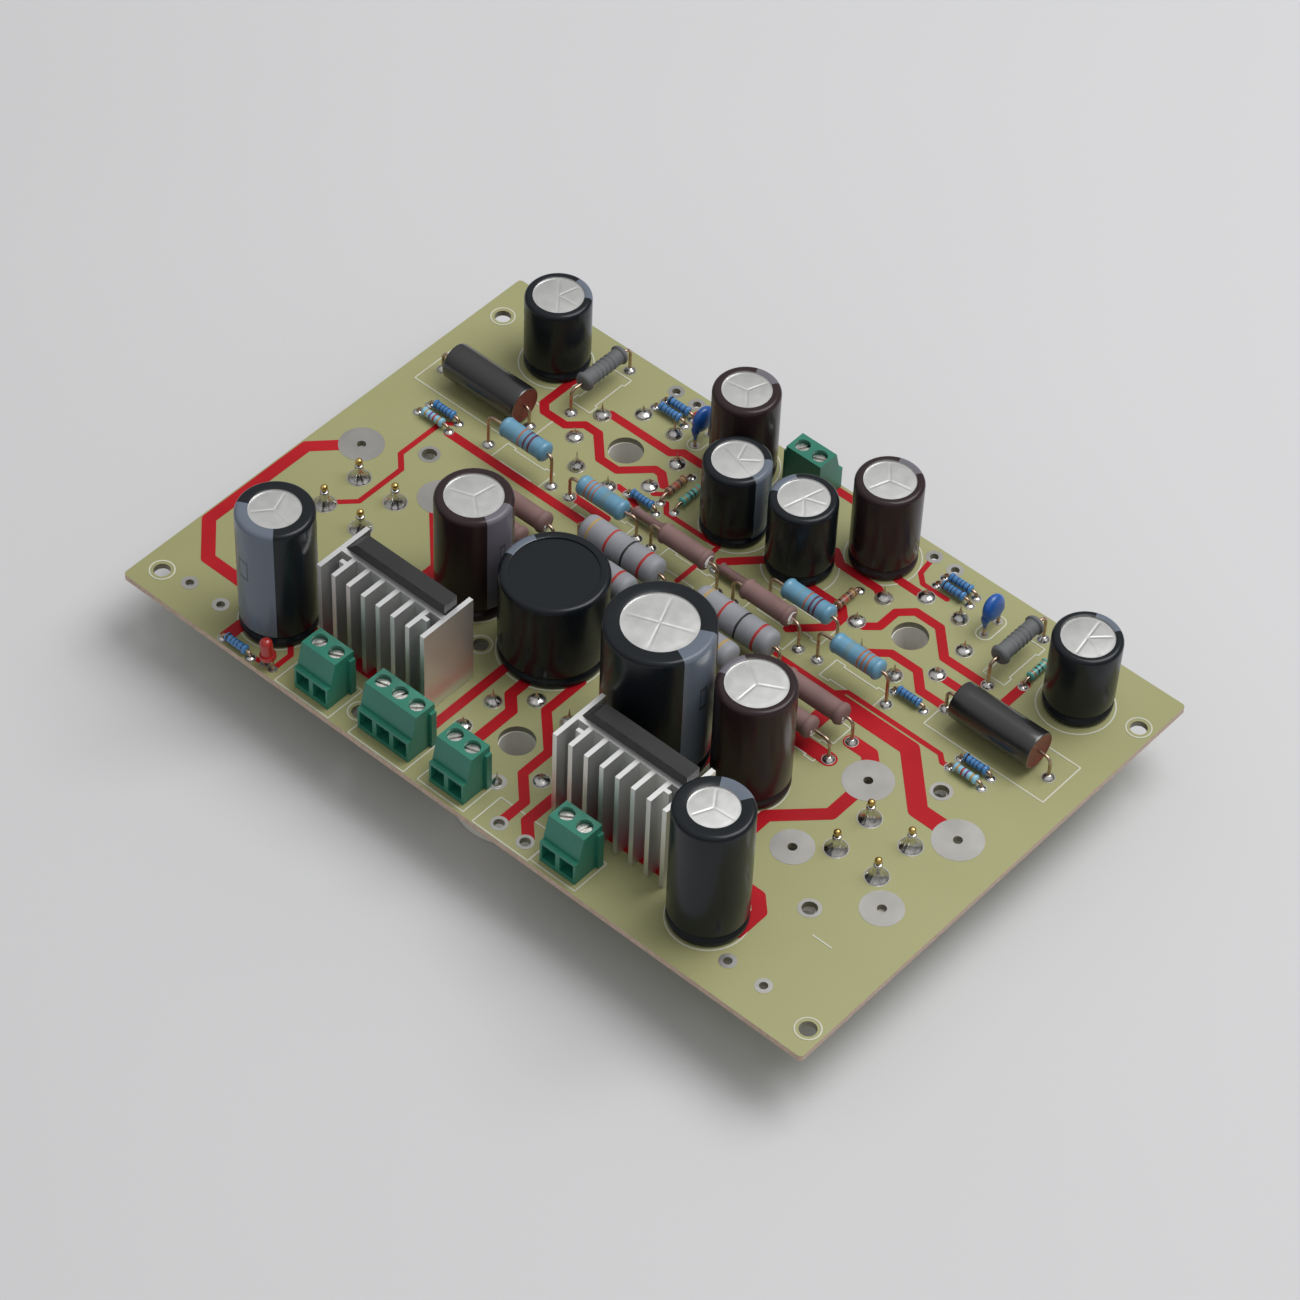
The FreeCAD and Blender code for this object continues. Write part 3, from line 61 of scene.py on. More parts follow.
class Shader:
    """A Principled material and the few node calls that the finishes below share."""

    def __init__(self, name, colour, roughness=0.5, metallic=0.0, **sockets):
        self.material = bpy.data.materials.new(name)
        self.material.use_nodes = True
        self.tree = self.material.node_tree
        self.bsdf = self.tree.nodes["Principled BSDF"]
        self.bsdf.inputs["Base Color"].default_value = (*colour, 1.0)
        self.bsdf.inputs["Roughness"].default_value = roughness
        self.bsdf.inputs["Metallic"].default_value = metallic
        for key, value in sockets.items():
            self.bsdf.inputs[key.replace("_", " ")].default_value = value

    def node(self, kind, settings=None, **inputs):
        """Adds a node. An input is named by its label, or by its number after an i."""
        item = self.tree.nodes.new("ShaderNode" + kind)
        for key, value in (settings or {}).items():
            setattr(item, key, value)
        for key, value in inputs.items():
            self.feed(item, key.replace("_", " "), value)
        return item

    def feed(self, item, socket, value):
        numbered = socket[0] == "i" and socket[1:].isdigit()
        target = item.inputs[int(socket[1:]) if numbered else socket]
        if isinstance(value, bpy.types.NodeSocket):
            self.tree.links.new(value, target)
        else:
            target.default_value = value

    def math(self, operation, first, second=0.0, third=0.0):
        return self.node("Math", {"operation": operation}, i0=first, i1=second, i2=third).outputs[0]

    def place(self):
        return self.node("TexCoord").outputs["Object"]

    def axes(self):
        """The object's own X, Y and Z, one socket each."""
        split = self.node("SeparateXYZ", Vector=self.place())
        return split.outputs["X"], split.outputs["Y"], split.outputs["Z"]

    def noise(self, scale, detail=3.0, stretch=None):
        spot = self.place()
        if stretch is not None:
            spot = self.node("Mapping", Vector=spot, Scale=stretch).outputs[0]
        return self.node("TexNoise", Vector=spot, Scale=scale, Detail=detail).outputs["Fac"]

    def ramp(self, factor, stops, step=False):
        """A colour ramp from (position, colour) pairs, in hard steps where step is set."""
        item = self.node("ValToRGB", Fac=factor)
        item.color_ramp.interpolation = "CONSTANT" if step else "LINEAR"
        elements = item.color_ramp.elements
        while len(elements) < len(stops):
            elements.new(0.5)
        for element, (position, colour) in zip(elements, stops):
            element.position = position
            element.color = (*colour, 1.0)
        return item.outputs["Color"]

    def mix(self, factor, first, second):
        item = self.node("Mix", {"data_type": "RGBA"})
        self.feed(item, "i0", factor)
        for socket, value in (("i6", first), ("i7", second)):
            linked = isinstance(value, bpy.types.NodeSocket)
            self.feed(item, socket, value if linked else (*value, 1.0))
        return item.outputs[2]

    def colour(self, value):
        self.feed(self.bsdf, "Base Color", value)
        return self

    def rough(self, factor, low, high):
        """Spreads the roughness from low to high with the factor."""
        spread = self.node("MapRange", Value=factor, To_Min=low, To_Max=high)
        self.feed(self.bsdf, "Roughness", spread.outputs[0])
        return self

    def bump(self, height, distance, strength):
        item = self.node("Bump", Height=height, Distance=distance, Strength=strength)
        self.feed(self.bsdf, "Normal", item.outputs[0])
        return self


WEAVE_STEP = 0.8 * MM
EDGE_SKIN = 0.3 * MM


def laminate():
    """Yellow-green glass laminate with its weave and a tan cut edge. The hole walls are painted darker, as
    shade in the holes.
    """
    shader = Shader("laminate", (0.32, 0.32, 0.15), 0.42,
                    Coat_Weight=0.08, Coat_Roughness=0.3, Specular_IOR_Level=0.3)
    x, y = shader.axes()[:2]
    turns = 2 * math.pi / WEAVE_STEP
    waves = [shader.math("SINE", shader.math("MULTIPLY", axis, turns)) for axis in (x, y)]
    weave = shader.math("MULTIPLY", *waves)
    cloud = shader.noise(14.0, detail=4.0)
    face = shader.ramp(cloud, [(0.3, (0.300, 0.296, 0.133)), (0.7, (0.348, 0.344, 0.166))])
    fibre = shader.mix(shader.math("MULTIPLY_ADD", weave, 0.04, 0.04), face, (0.45, 0.45, 0.29))
    normal = shader.node("NewGeometry").outputs["Normal"]
    upright = shader.math("ABSOLUTE", shader.node("SeparateXYZ", Vector=normal).outputs["Z"])
    side = shader.math("LESS_THAN", upright, 0.5)
    past_x = shader.math("GREATER_THAN", shader.math("ABSOLUTE", x), board_high.x - EDGE_SKIN)
    past_y = shader.math("GREATER_THAN", shader.math("ABSOLUTE", y), board_high.y - EDGE_SKIN)
    edge = shader.math("MULTIPLY", side, shader.math("MAXIMUM", past_x, past_y))
    grain = shader.ramp(shader.noise(900.0, 2.0), [(0.3, (0.43, 0.31, 0.23)), (0.7, (0.54, 0.41, 0.32))])
    # Upright faces inside the board, the hole walls, get a dark olive as painted shade
    hole_walls_painted_shade = shader.mix(side, fibre, (0.21, 0.195, 0.14))
    shader.colour(shader.mix(edge, hole_walls_painted_shade, grain))
    shader.rough(cloud, 0.34, 0.5)
    return shader.bump(weave, 0.01 * MM, 0.5).material


def red_track():
    """Copper seen red through the lacquer."""
    shader = Shader("red_track", (0.6, 0.02, 0.03), 0.35, Specular_IOR_Level=0.15)
    tone = shader.ramp(shader.noise(60.0), [(0.3, (0.35, 0.007, 0.013)), (0.7, (0.44, 0.013, 0.020))])
    return shader.colour(tone).bump(shader.noise(1500.0, detail=1.0), 0.01 * MM, 0.4).material


def metal(name, dark, light, low, high, scale=400.0, depth=0.02 * MM, stretch=None, metallic=1.0):
    """Bare metal, uneven between two tones and between a low and a high roughness."""
    shader = Shader(name, light, low, metallic)
    spots = shader.noise(scale, 4.0, stretch)
    shader.colour(shader.ramp(spots, [(0.3, dark), (0.7, light)]))
    return shader.rough(spots, low, high).bump(spots, depth, 0.6).material


GOLD_TIP = 1.1 * MM


def gilded():
    """Socket contacts: a gold ball on top, with the pin below it coloured darker."""
    shader = Shader("gold", (0.74, 0.53, 0.20), 0.25, 1.0)
    spots = shader.noise(700.0, 4.0)
    gold = shader.ramp(spots, [(0.3, (0.50, 0.32, 0.09)), (0.7, (0.74, 0.53, 0.20))])
    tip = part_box("socket_contacts")[1].z
    ball = shader.math("GREATER_THAN", shader.axes()[2], tip - GOLD_TIP)
    shader.colour(shader.mix(ball, (0.26, 0.20, 0.11), gold))
    return shader.rough(spots, 0.16, 0.3).bump(spots, 0.02 * MM, 0.6).material


def plastic(name, colour, roughness, scale, depth, spread, **sockets):
    """Moulded or dipped plastic with a fine skin."""
    shader = Shader(name, colour, roughness, **sockets)
    tone = shader.noise(90.0, 3.0)
    dark = tuple(channel * (1.0 - spread) for channel in colour)
    light = tuple(min(1.0, channel * (1.0 + spread)) for channel in colour)
    shader.colour(shader.ramp(tone, [(0.3, dark), (0.7, light)]))
    shader.rough(tone, roughness * 0.85, roughness * 1.15)
    return shader.bump(shader.noise(scale, 2.0), depth, 0.5).material


def ceramic():
    """The sockets' off-white glazed body."""
    shader = Shader("white_ceramic", (0.78, 0.76, 0.70), 0.35, Coat_Weight=0.4, Coat_Roughness=0.2)
    tone = shader.ramp(shader.noise(50.0), [(0.3, (0.70, 0.68, 0.62)), (0.7, (0.80, 0.79, 0.74))])
    return shader.colour(tone).bump(shader.noise(700.0), 0.03 * MM, 0.4).material


def banded(name, length, stops, roughness, depth, scale, coat):
    """A coated body whose colour bands are rings along its own Z axis."""
    shader = Shader(name, stops[0][1], roughness, Coat_Weight=coat, Coat_Roughness=0.15)
    z = shader.axes()[2]
    along = shader.node("MapRange", Value=z, From_Min=-length / 2, From_Max=length / 2).outputs[0]
    wobble = shader.math("MULTIPLY_ADD", shader.noise(300.0), 0.02, -0.01)
    rings = shader.ramp(shader.math("ADD", along, wobble), stops, step=True)
    tone = shader.ramp(shader.noise(160.0, 4.0), [(0.3, (0.80, 0.80, 0.80)), (0.7, (1.0, 1.0, 1.0))])
    shaded = shader.node("Mix", {"data_type": "RGBA", "blend_type": "MULTIPLY"})
    shader.feed(shaded, "i0", 1.0)
    shader.feed(shaded, "i6", rings)
    shader.feed(shaded, "i7", tone)
    shader.colour(shaded.outputs[2])
    return shader.bump(shader.noise(scale, 4.0), depth, 0.7).material


MARK_HEIGHT = 0.62
MARK_SLIMNESS = 12.0
MARK_SHARE = 5.0
MARK_LINE = (0.87, 0.13)
PLAIN_FOOT = 0.10


def sleeve(name, colour, stripe_angle, stripe_half, stripe_colour, height, inner):
    """A shrunk sleeve with its lighter stripe and one plain outlined mark on it.

    The stripe and its mark stay outside the inner radius and above the plain foot.
    """
    shader = Shader(name, colour, 0.24, Specular_IOR_Level=0.26)
    x, y, z = shader.axes()
    away_x = shader.math("ADD", shader.math("MULTIPLY", x, math.cos(stripe_angle)),
                         shader.math("MULTIPLY", y, math.sin(stripe_angle)))
    away_y = shader.math("SUBTRACT", shader.math("MULTIPLY", y, math.cos(stripe_angle)),
                         shader.math("MULTIPLY", x, math.sin(stripe_angle)))
    angle = shader.math("ARCTAN2", away_y, away_x)
    size = shader.math("ABSOLUTE", angle)
    square = shader.math("ADD", shader.math("MULTIPLY", x, x), shader.math("MULTIPLY", y, y))
    reach = shader.math("SQRT", square)
    stripe = shader.math("LESS_THAN", size, stripe_half)
    stripe = shader.math("MULTIPLY", stripe, shader.math("GREATER_THAN", reach, inner))
    share = shader.math("MULTIPLY", z, 1.0 / height)
    tall = shader.math("ABSOLUTE", shader.math("SUBTRACT", share, MARK_HEIGHT))
    far = shader.math("MAXIMUM", shader.math("MULTIPLY", tall, MARK_SLIMNESS),
                      shader.math("MULTIPLY", size, MARK_SHARE / stripe_half))
    bar = shader.math("COMPARE", far, *MARK_LINE)
    body = shader.mix(stripe, colour, stripe_colour)
    marked = shader.mix(bar, body, tuple(channel * 0.45 for channel in stripe_colour))
    above_foot = shader.math("GREATER_THAN", z, height * PLAIN_FOOT)
    shader.colour(shader.mix(above_foot, colour, marked))
    ripple = shader.noise(240.0, stretch=(1.0, 1.0, 0.25))
    shader.rough(ripple, 0.16, 0.32)
    return shader.bump(ripple, 0.03 * MM, 0.3).material


# Mesh building

def mesh_piece(name, vertices, faces, materials, indices=None, smooth_angle=40.0):
    """An object with its materials, smooth but for edges sharper than the angle in degrees."""
    mesh = bpy.data.meshes.new(name)
    mesh.from_pydata(vertices, [], faces)
    for material in materials:
        mesh.materials.append(material)
    if indices is not None:
        mesh.polygons.foreach_set("material_index", indices)
    mesh.update()
    mesh.shade_smooth()
    mesh.set_sharp_from_angle(angle=math.radians(smooth_angle))
    item = bpy.data.objects.new(name, mesh)
    bpy.context.scene.collection.objects.link(item)
    return item


ON_AXIS = 0.0001 * MM


def lathe(name, profile, materials, segments=64, lift=None):
    """A body of revolution about Z. A profile point is a radius, a height and a material index.

    lift, where given, adds to the height of a point, from its radius and angle.
    """
    vertices = []
    faces = []
    indices = []
    rings = []
    for radius, height, slot in profile:
        if radius < ON_AXIS:
            rings.append([len(vertices)])
            vertices.append((0.0, 0.0, height + (lift(0.0, 0.0, slot) if lift else 0.0)))
            continue
        ring = []
        for step in range(segments):
            angle = 2 * math.pi * step / segments
            rise = lift(radius, angle, slot) if lift else 0.0
            ring.append(len(vertices))
            vertices.append((radius * math.cos(angle), radius * math.sin(angle), height + rise))
        rings.append(ring)
    for (lower, upper), point in zip(zip(rings, rings[1:]), profile[1:]):
        for step in range(segments):
            after = (step + 1) % segments
            if len(lower) == 1:
                face = (lower[0], upper[after], upper[step])
            elif len(upper) == 1:
                face = (lower[step], lower[after], upper[0])
            else:
                face = (lower[step], lower[after], upper[after], upper[step])
            faces.append(face)
            indices.append(point[2])
    return mesh_piece(name, vertices, faces, materials, indices)


def islands(node):
    """The lowest and highest corners of each loose solid of a CAD node, ordered along X and then Y.

    Corners less than a micrometre apart count as one.
    """
    mesh = frame["nodes"][node].data
    parent = list(range(len(mesh.vertices)))

    def root(index):
        while parent[index] != index:
            parent[index] = parent[parent[index]]
            index = parent[index]
        return index

    spots = {}
    for vertex in mesh.vertices:
        key = tuple(round(value, 6) for value in vertex.co)
        other = spots.setdefault(key, vertex.index)
        parent[root(vertex.index)] = root(other)
    for edge in mesh.edges:
        first, second = edge.vertices
        parent[root(first)] = root(second)
    boxes = {}
    for vertex in mesh.vertices:
        low, high = boxes.setdefault(root(vertex.index), (vertex.co.copy(), vertex.co.copy()))
        for axis in range(3):
            low[axis] = min(low[axis], vertex.co[axis])
            high[axis] = max(high[axis], vertex.co[axis])
    return sorted(boxes.values(), key=lambda pair: (round(pair[0].x, 4), round(pair[0].y, 4)))


def keep(piece, node):
    """Stands a piece in for a CAD node, on the board."""
    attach(piece, BOARD)
    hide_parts(node)
    return piece


# Electrolytic capacitors

ALUMINIUM_TOP = metal("can_top", (0.62, 0.62, 0.61), (0.70, 0.70, 0.69), low=0.3, high=0.42, scale=260.0)
# A darker copy of the can tops' aluminium, painted shade for the leaning can's top, which otherwise catches
# too bright a reflection
SHADED_CAN_TOP = metal("can_top_painted_shade", (0.42, 0.42, 0.41), (0.50, 0.50, 0.49), low=0.34, high=0.46, scale=260.0)
BLACK = (0.008, 0.0105, 0.0135)
BROWN = (0.027, 0.0155, 0.0175)
GREY_BLUE = (0.13, 0.155, 0.195)
BROWN_GREY = (0.15, 0.14, 0.165)
# Directions of the creases in a top, in degrees
VENTS = {
    "three": [90.0, 210.0, 330.0],
    "four": [0.0, 90.0, 180.0, 270.0],
    "kay": [90.0, 270.0, 35.0, -35.0],
    "none": [],
}
# Number: sleeve, stripe's angle and half width in degrees, radius of the bare disc, vent and its turn
CANS = {
    1: (BLACK, -100.0, 52.0, 5.95, "three", 20.0),
    2: (BROWN, -2.0, 26.0, 6.75, "three", -10.0),
    3: (BLACK, 175.0, 20.0, 10.2, "none", 0.0),
    4: (BLACK, 2.0, 26.0, 8.6, "four", 22.0),
    5: (BROWN, 175.0, 26.0, 7.0, "three", 60.0),
    6: (BLACK, 90.0, 30.0, 5.65, "three", 35.0),
    7: (BLACK, 62.0, 28.0, 6.05, "kay", 40.0),
    8: (BROWN, 85.0, 26.0, 5.85, "three", 100.0),
    9: (BLACK, 12.0, 30.0, 6.0, "kay", 75.0),
    10: (BLACK, 175.0, 30.0, 6.0, "kay", -15.0),
    11: (BROWN, 85.0, 26.0, 6.05, "three", 40.0),
    12: (BLACK, 85.0, 28.0, 6.1, "kay", 10.0),
}
LEANING_CAN = 12
CAN_LEAN = math.radians(0.9)
CAN_SEGMENTS = 144
DISC_RINGS = 16
VENT_HALF_WIDTH = 0.42 * MM
VENT_DEPTH = 0.055 * MM
VENT_REACH = 0.93
VENT_FADE = 0.1
DISC_BULGE = 0.1 * MM
# Inset from the side and height of the rounded foot, in millimetres
FOOT_ROUND = [(0.6, 0.0), (0.1, 0.35), (0.0, 0.8)]
GROOVE_HEIGHT = 2.6 * MM
GROOVE_DEPTH = 0.65 * MM
GROOVE_HALF = 1.15 * MM
GROOVE_STEPS = 6
SHOULDER = 1.15 * MM
SHOULDER_STEPS = 8
SLEEVE_LIP = 0.25 * MM
LIP_DROP = (0.02 * MM, 0.12 * MM)
DISC_DEPTH = 0.42 * MM
DISC_FILLET = 0.05 * MM


def vent_lift(disc_radius, spokes):
    """Presses the vent's creases into the bare disc and bulges the fields between them."""
    def lift(radius, angle, slot):
        if slot != 1:
            return 0.0
        inside = min(1.0, max(0.0, (disc_radius * VENT_REACH - radius) / (disc_radius * VENT_FADE)))
        nearest = 1.0
        for spoke in spokes:
            turn = (angle - spoke + math.pi) % (2 * math.pi) - math.pi
            if abs(turn) < math.pi / 2:
                nearest = min(nearest, radius * abs(math.sin(turn)) / VENT_HALF_WIDTH)
            else:
                nearest = min(nearest, radius / VENT_HALF_WIDTH)
        crease = max(0.0, 1.0 - nearest) if spokes else 0.0
        bulge = DISC_BULGE * (1.0 - (radius / disc_radius) ** 2)
        return inside * (bulge - VENT_DEPTH * crease)
    return lift


def can_profile(radius, height, disc, bare_slot):
    """A can's outline from the middle of its foot to the middle of the bare disc in its top."""
    profile = [(0.0, 0.0, 0)]
    profile += [(radius - inset * MM, level * MM, 0) for inset, level in FOOT_ROUND]
    for step in range(-GROOVE_STEPS, GROOVE_STEPS + 1):
        along = step / GROOVE_STEPS
        dent = GROOVE_DEPTH * 0.5 * (1 + math.cos(math.pi * along))
        profile.append((radius - dent, GROOVE_HEIGHT + along * GROOVE_HALF, 0))
    foot = GROOVE_HEIGHT + GROOVE_HALF
    for share in (0.25, 0.5, 0.75):
        profile.append((radius, foot + share * (height - SHOULDER - foot), 0))
    for step in range(SHOULDER_STEPS + 1):
        angle = math.pi / 2 * step / SHOULDER_STEPS
        drop = SHOULDER * (1 - math.sin(angle))
        profile.append((radius - SHOULDER * (1 - math.cos(angle)), height - drop, 0))
    profile.append((disc + SLEEVE_LIP, height - LIP_DROP[0], 0))
    profile.append((disc, height - LIP_DROP[1], 0))
    profile.append((disc - DISC_FILLET, height - DISC_DEPTH, bare_slot))
    for step in range(1, DISC_RINGS + 1):
        profile.append((disc * (1 - step / DISC_RINGS), height - DISC_DEPTH, bare_slot))
    return profile


def can(number, colour, stripe, half, disc, vent, turn):
    """An electrolytic capacitor: sleeve, groove, rounded shoulder and pressed disc."""
    node = f"capacitor_{number}"
    low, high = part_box(node)
    height = high.z - low.z
    radius = (high.y - low.y) / 2
    disc *= MM
    spokes = [math.radians(angle + turn) for angle in VENTS[vent]]
    stripe_colour = BROWN_GREY if colour is BROWN else GREY_BLUE
    cover = sleeve(f"sleeve_{number}", colour, math.radians(stripe), math.radians(half),
                   stripe_colour, height, disc)
    # The leaning can's top takes the darker aluminium copy as painted shade
    bare = SHADED_CAN_TOP if number == LEANING_CAN else ALUMINIUM_TOP
    profile = can_profile(radius, height, disc, 0 if vent == "none" else 1)
    piece = lathe(f"can_{number}", profile, [cover, bare], CAN_SEGMENTS, vent_lift(disc, spokes))
    piece.location = ((low.x + high.x) / 2, (low.y + high.y) / 2, low.z)
    if number == LEANING_CAN:
        piece.rotation_euler = Euler((0.0, CAN_LEAN, 0.0))
        piece.location.x -= height / 2 * math.sin(CAN_LEAN)
        piece.location.z += radius * math.sin(CAN_LEAN)
    keep(piece, node)


for number, facts in CANS.items():
    can(number, *facts)


# Axial components

RED = (0.42, 0.022, 0.020)
GOLD = (0.44, 0.29, 0.10)
DARK = (0.02, 0.015, 0.015)
ORANGE = (0.42, 0.15, 0.07)
VIOLET = (0.16, 0.05, 0.22)
PLUM = (0.13, 0.03, 0.07)
TEAL = (0.16, 0.30, 0.36)


def rings(base, bands):
    """Colour ramp stops: the base colour with bands given as start, end and colour."""
    stops = [(0.0, base)]
    for start, end, colour in bands:
        stops += [(start, colour), (end, base)]
    return stops


NOSE_RADIUS = 0.62
NOSE_REACH = 0.55
SWELL_REACH = 0.35


def waist_profile(length, end_radius, waist_radius, end_share, count=44):
    """A resistor's outline: two softly swollen ends and a straight middle."""
    points = [(0.0, -length / 2, 0)]
    for step in range(count + 1):
        along = -1.0 + 2.0 * step / count
        edge = (1.0 - abs(along)) * length / 2
        cap = min(1.0, edge / (end_radius * NOSE_REACH))
        nose = math.sqrt(max(0.0, 1.0 - (1.0 - cap) ** 2))
        swell = min(1.0, max(0.0, (abs(along) - (1.0 - end_share)) / (end_share * SWELL_REACH)))
        swell = swell * swell * (3 - 2 * swell)
        radius = waist_radius + (end_radius - waist_radius) * swell
        radius *= NOSE_RADIUS + (1.0 - NOSE_RADIUS) * nose
        points.append((radius, along * length / 2, 0))
    points.append((0.0, length / 2, 0))
    return points


def lay(piece, low, high, flip):
    """Lays a lathed body level along the longer side of its solid's box."""
    span = high - low
    piece.rotation_euler = Euler((0.0, math.pi / 2, 0.0 if span.x > span.y else math.pi / 2))
    if flip:
        piece.rotation_euler.z += math.pi
    piece.location = (low + high) / 2


def axial_group(node, dress):
    """Stands a detailed body in for every solid of a node.

    dress gives its materials, outline, segments and whether it is turned end for end.
    """
    for number, (low, high) in enumerate(islands(node), start=1):
        span = high - low
        length = max(span.x, span.y)
        name = f"{node}_{number}"
        materials, profile, segments, flip = dress(name, number, length, span.z / 2, (low + high) / 2)
        piece = lathe(name, profile, materials, segments)
        lay(piece, low, high, flip)
        keep(piece, node)


PALE_BLUE = (0.14, 0.325, 0.47)
BLUE_CODES = [
    [(0.32, 0.34, TEAL), (0.44, 0.475, ORANGE), (0.56, 0.60, PLUM), (0.66, 0.705, PLUM)],
    [(0.20, 0.235, ORANGE), (0.29, 0.325, ORANGE), (0.38, 0.41, ORANGE), (0.56, 0.66, TEAL)],
    [(0.34, 0.38, TEAL), (0.50, 0.535, ORANGE), (0.61, 0.65, PLUM), (0.70, 0.745, PLUM)],
    [(0.30, 0.40, TEAL), (0.58, 0.615, ORANGE), (0.67, 0.705, ORANGE), (0.76, 0.795, ORANGE)],
]


def dress_blue(name, number, length, radius, centre):
    """A blue lacquered power resistor with its code."""
    stops = rings(PALE_BLUE, BLUE_CODES[(number - 1) % len(BLUE_CODES)])
    material = banded(name, length, stops, roughness=0.36, depth=0.04 * MM, scale=700.0, coat=0.2)
    return [material], waist_profile(length, radius, radius * 0.91, end_share=0.24), 48, False


PINK_CEMENT = (0.225, 0.132, 0.122)
SLIM_CEMENT_LENGTH = 10 * MM


def dress_cement(name, number, length, radius, centre):
    """A rough pink-brown resistor, the slim kind with a deeper waist."""
    slim = length < SLIM_CEMENT_LENGTH
    stops = rings(PINK_CEMENT, [])
    material = banded(name, length, stops, roughness=0.7, depth=0.12 * MM, scale=420.0, coat=0.0)
    waist = radius * (0.74 if slim else 0.87)
    return [material], waist_profile(length, radius, waist, end_share=0.24), 48, False


PALE_GREY = (0.28, 0.29, 0.315)
DARK_GREY = (0.130, 0.136, 0.142)
PALE_CODE = [(0.12, 0.145, GOLD), (0.36, 0.39, RED), (0.59, 0.62, DARK), (0.82, 0.85, RED)]
PALE_LENGTH = 18 * MM
TURNED_CORNER = 8 * MM
WIRE_PITCH = 1.35 * MM
WOUND_SHARE = 0.27
WIRE_SWELL = 0.05


def dress_grey(name, number, length, radius, centre):
    """A pale banded power resistor, or a shorter grey one whose winding shows through its coat."""
    if length > PALE_LENGTH:
        stops = rings(PALE_GREY, PALE_CODE)
        material = banded(name, length, stops, roughness=0.6, depth=0.08 * MM, scale=500.0, coat=0.05)
        flip = centre.x > TURNED_CORNER and centre.y < TURNED_CORNER
        return [material], waist_profile(length, radius, radius * 0.985, end_share=0.14), 56, flip
    stops = rings(DARK_GREY, [])
    material = banded(name, length, stops, roughness=0.7, depth=0.12 * MM, scale=400.0, coat=0.0)
    wound = []
    for reach, height, slot in waist_profile(length, radius, radius * 0.80, end_share=0.24, count=120):
        middle = max(0.0, 1.0 - abs(height) / (length * WOUND_SHARE))
        turn = math.cos(2 * math.pi * height / WIRE_PITCH) * min(1.0, middle * 3)
        wound.append((reach * (1.0 + WIRE_SWELL * turn), height, slot))
    return [material], wound, 48, False


NAVY = (0.015, 0.04, 0.13)
SMALL_COLOURS = {
    "blue": ((0.055, 0.22, 0.50), [
        (0.10, 0.16, DARK), (0.30, 0.345, NAVY), (0.45, 0.495, NAVY), (0.60, 0.645, NAVY),
        (0.80, 0.85, NAVY),
    ]),
    "green": ((0.12, 0.46, 0.40), [
        (0.14, 0.22, ORANGE), (0.36, 0.43, DARK), (0.55, 0.62, DARK), (0.78, 0.85, GOLD),
    ]),
    "tan": ((0.28, 0.13, 0.07), [
        (0.16, 0.24, DARK), (0.40, 0.47, RED), (0.60, 0.67, DARK), (0.80, 0.86, GOLD),
    ]),
    "light": ((0.26, 0.55, 0.72), [
        (0.16, 0.24, GOLD), (0.38, 0.46, VIOLET), (0.56, 0.64, RED), (0.78, 0.86, GOLD),
    ]),
}
# Middles along X of the tan and the green ones, and the row of the light ones, in millimetres
TAN_PLACES = (-26.2, 24.9)
GREEN_PLACES = (-21.8, 70.0)
LIGHT_ROW = (16.0, 17.5)
SAME_PLACE = 1.0


def small_colour(centre):
    """The lacquer of a quarter-watt resistor, from where it stands."""
    x = centre.x / MM
    if any(abs(x - place) < SAME_PLACE for place in TAN_PLACES):
        return "tan"
    if any(abs(x - place) < SAME_PLACE for place in GREEN_PLACES):
        return "green"
    return "light" if LIGHT_ROW[0] < centre.y / MM < LIGHT_ROW[1] else "blue"


def dress_small(name, number, length, radius, centre):
    """A quarter-watt resistor."""
    stops = rings(*SMALL_COLOURS[small_colour(centre)])
    material = banded(name, length, stops, roughness=0.3, depth=0.03 * MM, scale=700.0, coat=0.4)
    profile = waist_profile(length, radius, radius * 0.8, end_share=0.27, count=30)
    return [material], profile, 32, number % 2 == 0


WRAP = plastic("film_wrap", (0.010, 0.010, 0.011), roughness=0.3, scale=300.0, depth=0.08 * MM, spread=0.1,
               Coat_Weight=0.8, Coat_Roughness=0.2)
RESIN = plastic("film_resin", (0.15, 0.026, 0.018), roughness=0.45, scale=500.0, depth=0.1 * MM, spread=0.3)
# Share of the radius, and inset from the end in millimetres
FILM_END = [(0.75, 0.25), (0.90, 0.1)]
FILM_WRAP = [(0.935, 0.0), (0.965, 0.0), (0.985, 0.15), (1.0, 0.5), (1.0, 3.0), (0.996, 6.0)]
FILM_DISH = 0.3 * MM


def dress_film(name, number, length, radius, centre):
    """A film capacitor: glossy black wrap, with red-brown resin in both ends."""
    half = length / 2
    profile = [(0.0, -half + FILM_DISH, 1)]
    profile += [(radius * share, -half + inset * MM, 1) for share, inset in FILM_END]
    profile += [(radius * share, -half + inset * MM, 0) for share, inset in FILM_WRAP]
    profile += [(radius * share, half - inset * MM, 0) for share, inset in reversed(FILM_WRAP)]
    profile += [(radius * share, half - inset * MM, 1) for share, inset in reversed(FILM_END)]
    profile.append((0.0, half - FILM_DISH, 1))
    return [WRAP, RESIN], profile, 72, False


axial_group("blue_resistors", dress_blue)
axial_group("cement_resistors", dress_cement)
axial_group("grey_power_resistors", dress_grey)
axial_group("small_resistors", dress_small)
axial_group("film_capacitors", dress_film)


# Disc capacitors

DISC_BLUE = plastic("disc_blue", (0.012, 0.090, 0.36), roughness=0.32, scale=500.0, depth=0.05 * MM,
                    spread=0.15, Coat_Weight=0.2)
DISC_HALF = 1.45 * MM
DISC_BLUNTNESS = 0.6
DISC_STEPS = 16
DISC_LEAN = math.radians(7.0)
LEANING_WIDTH = 3.3 * MM
DISC_LEAD_SPREAD = 2.57 * MM
DISC_TAIL_FOOT = 2.0 * MM
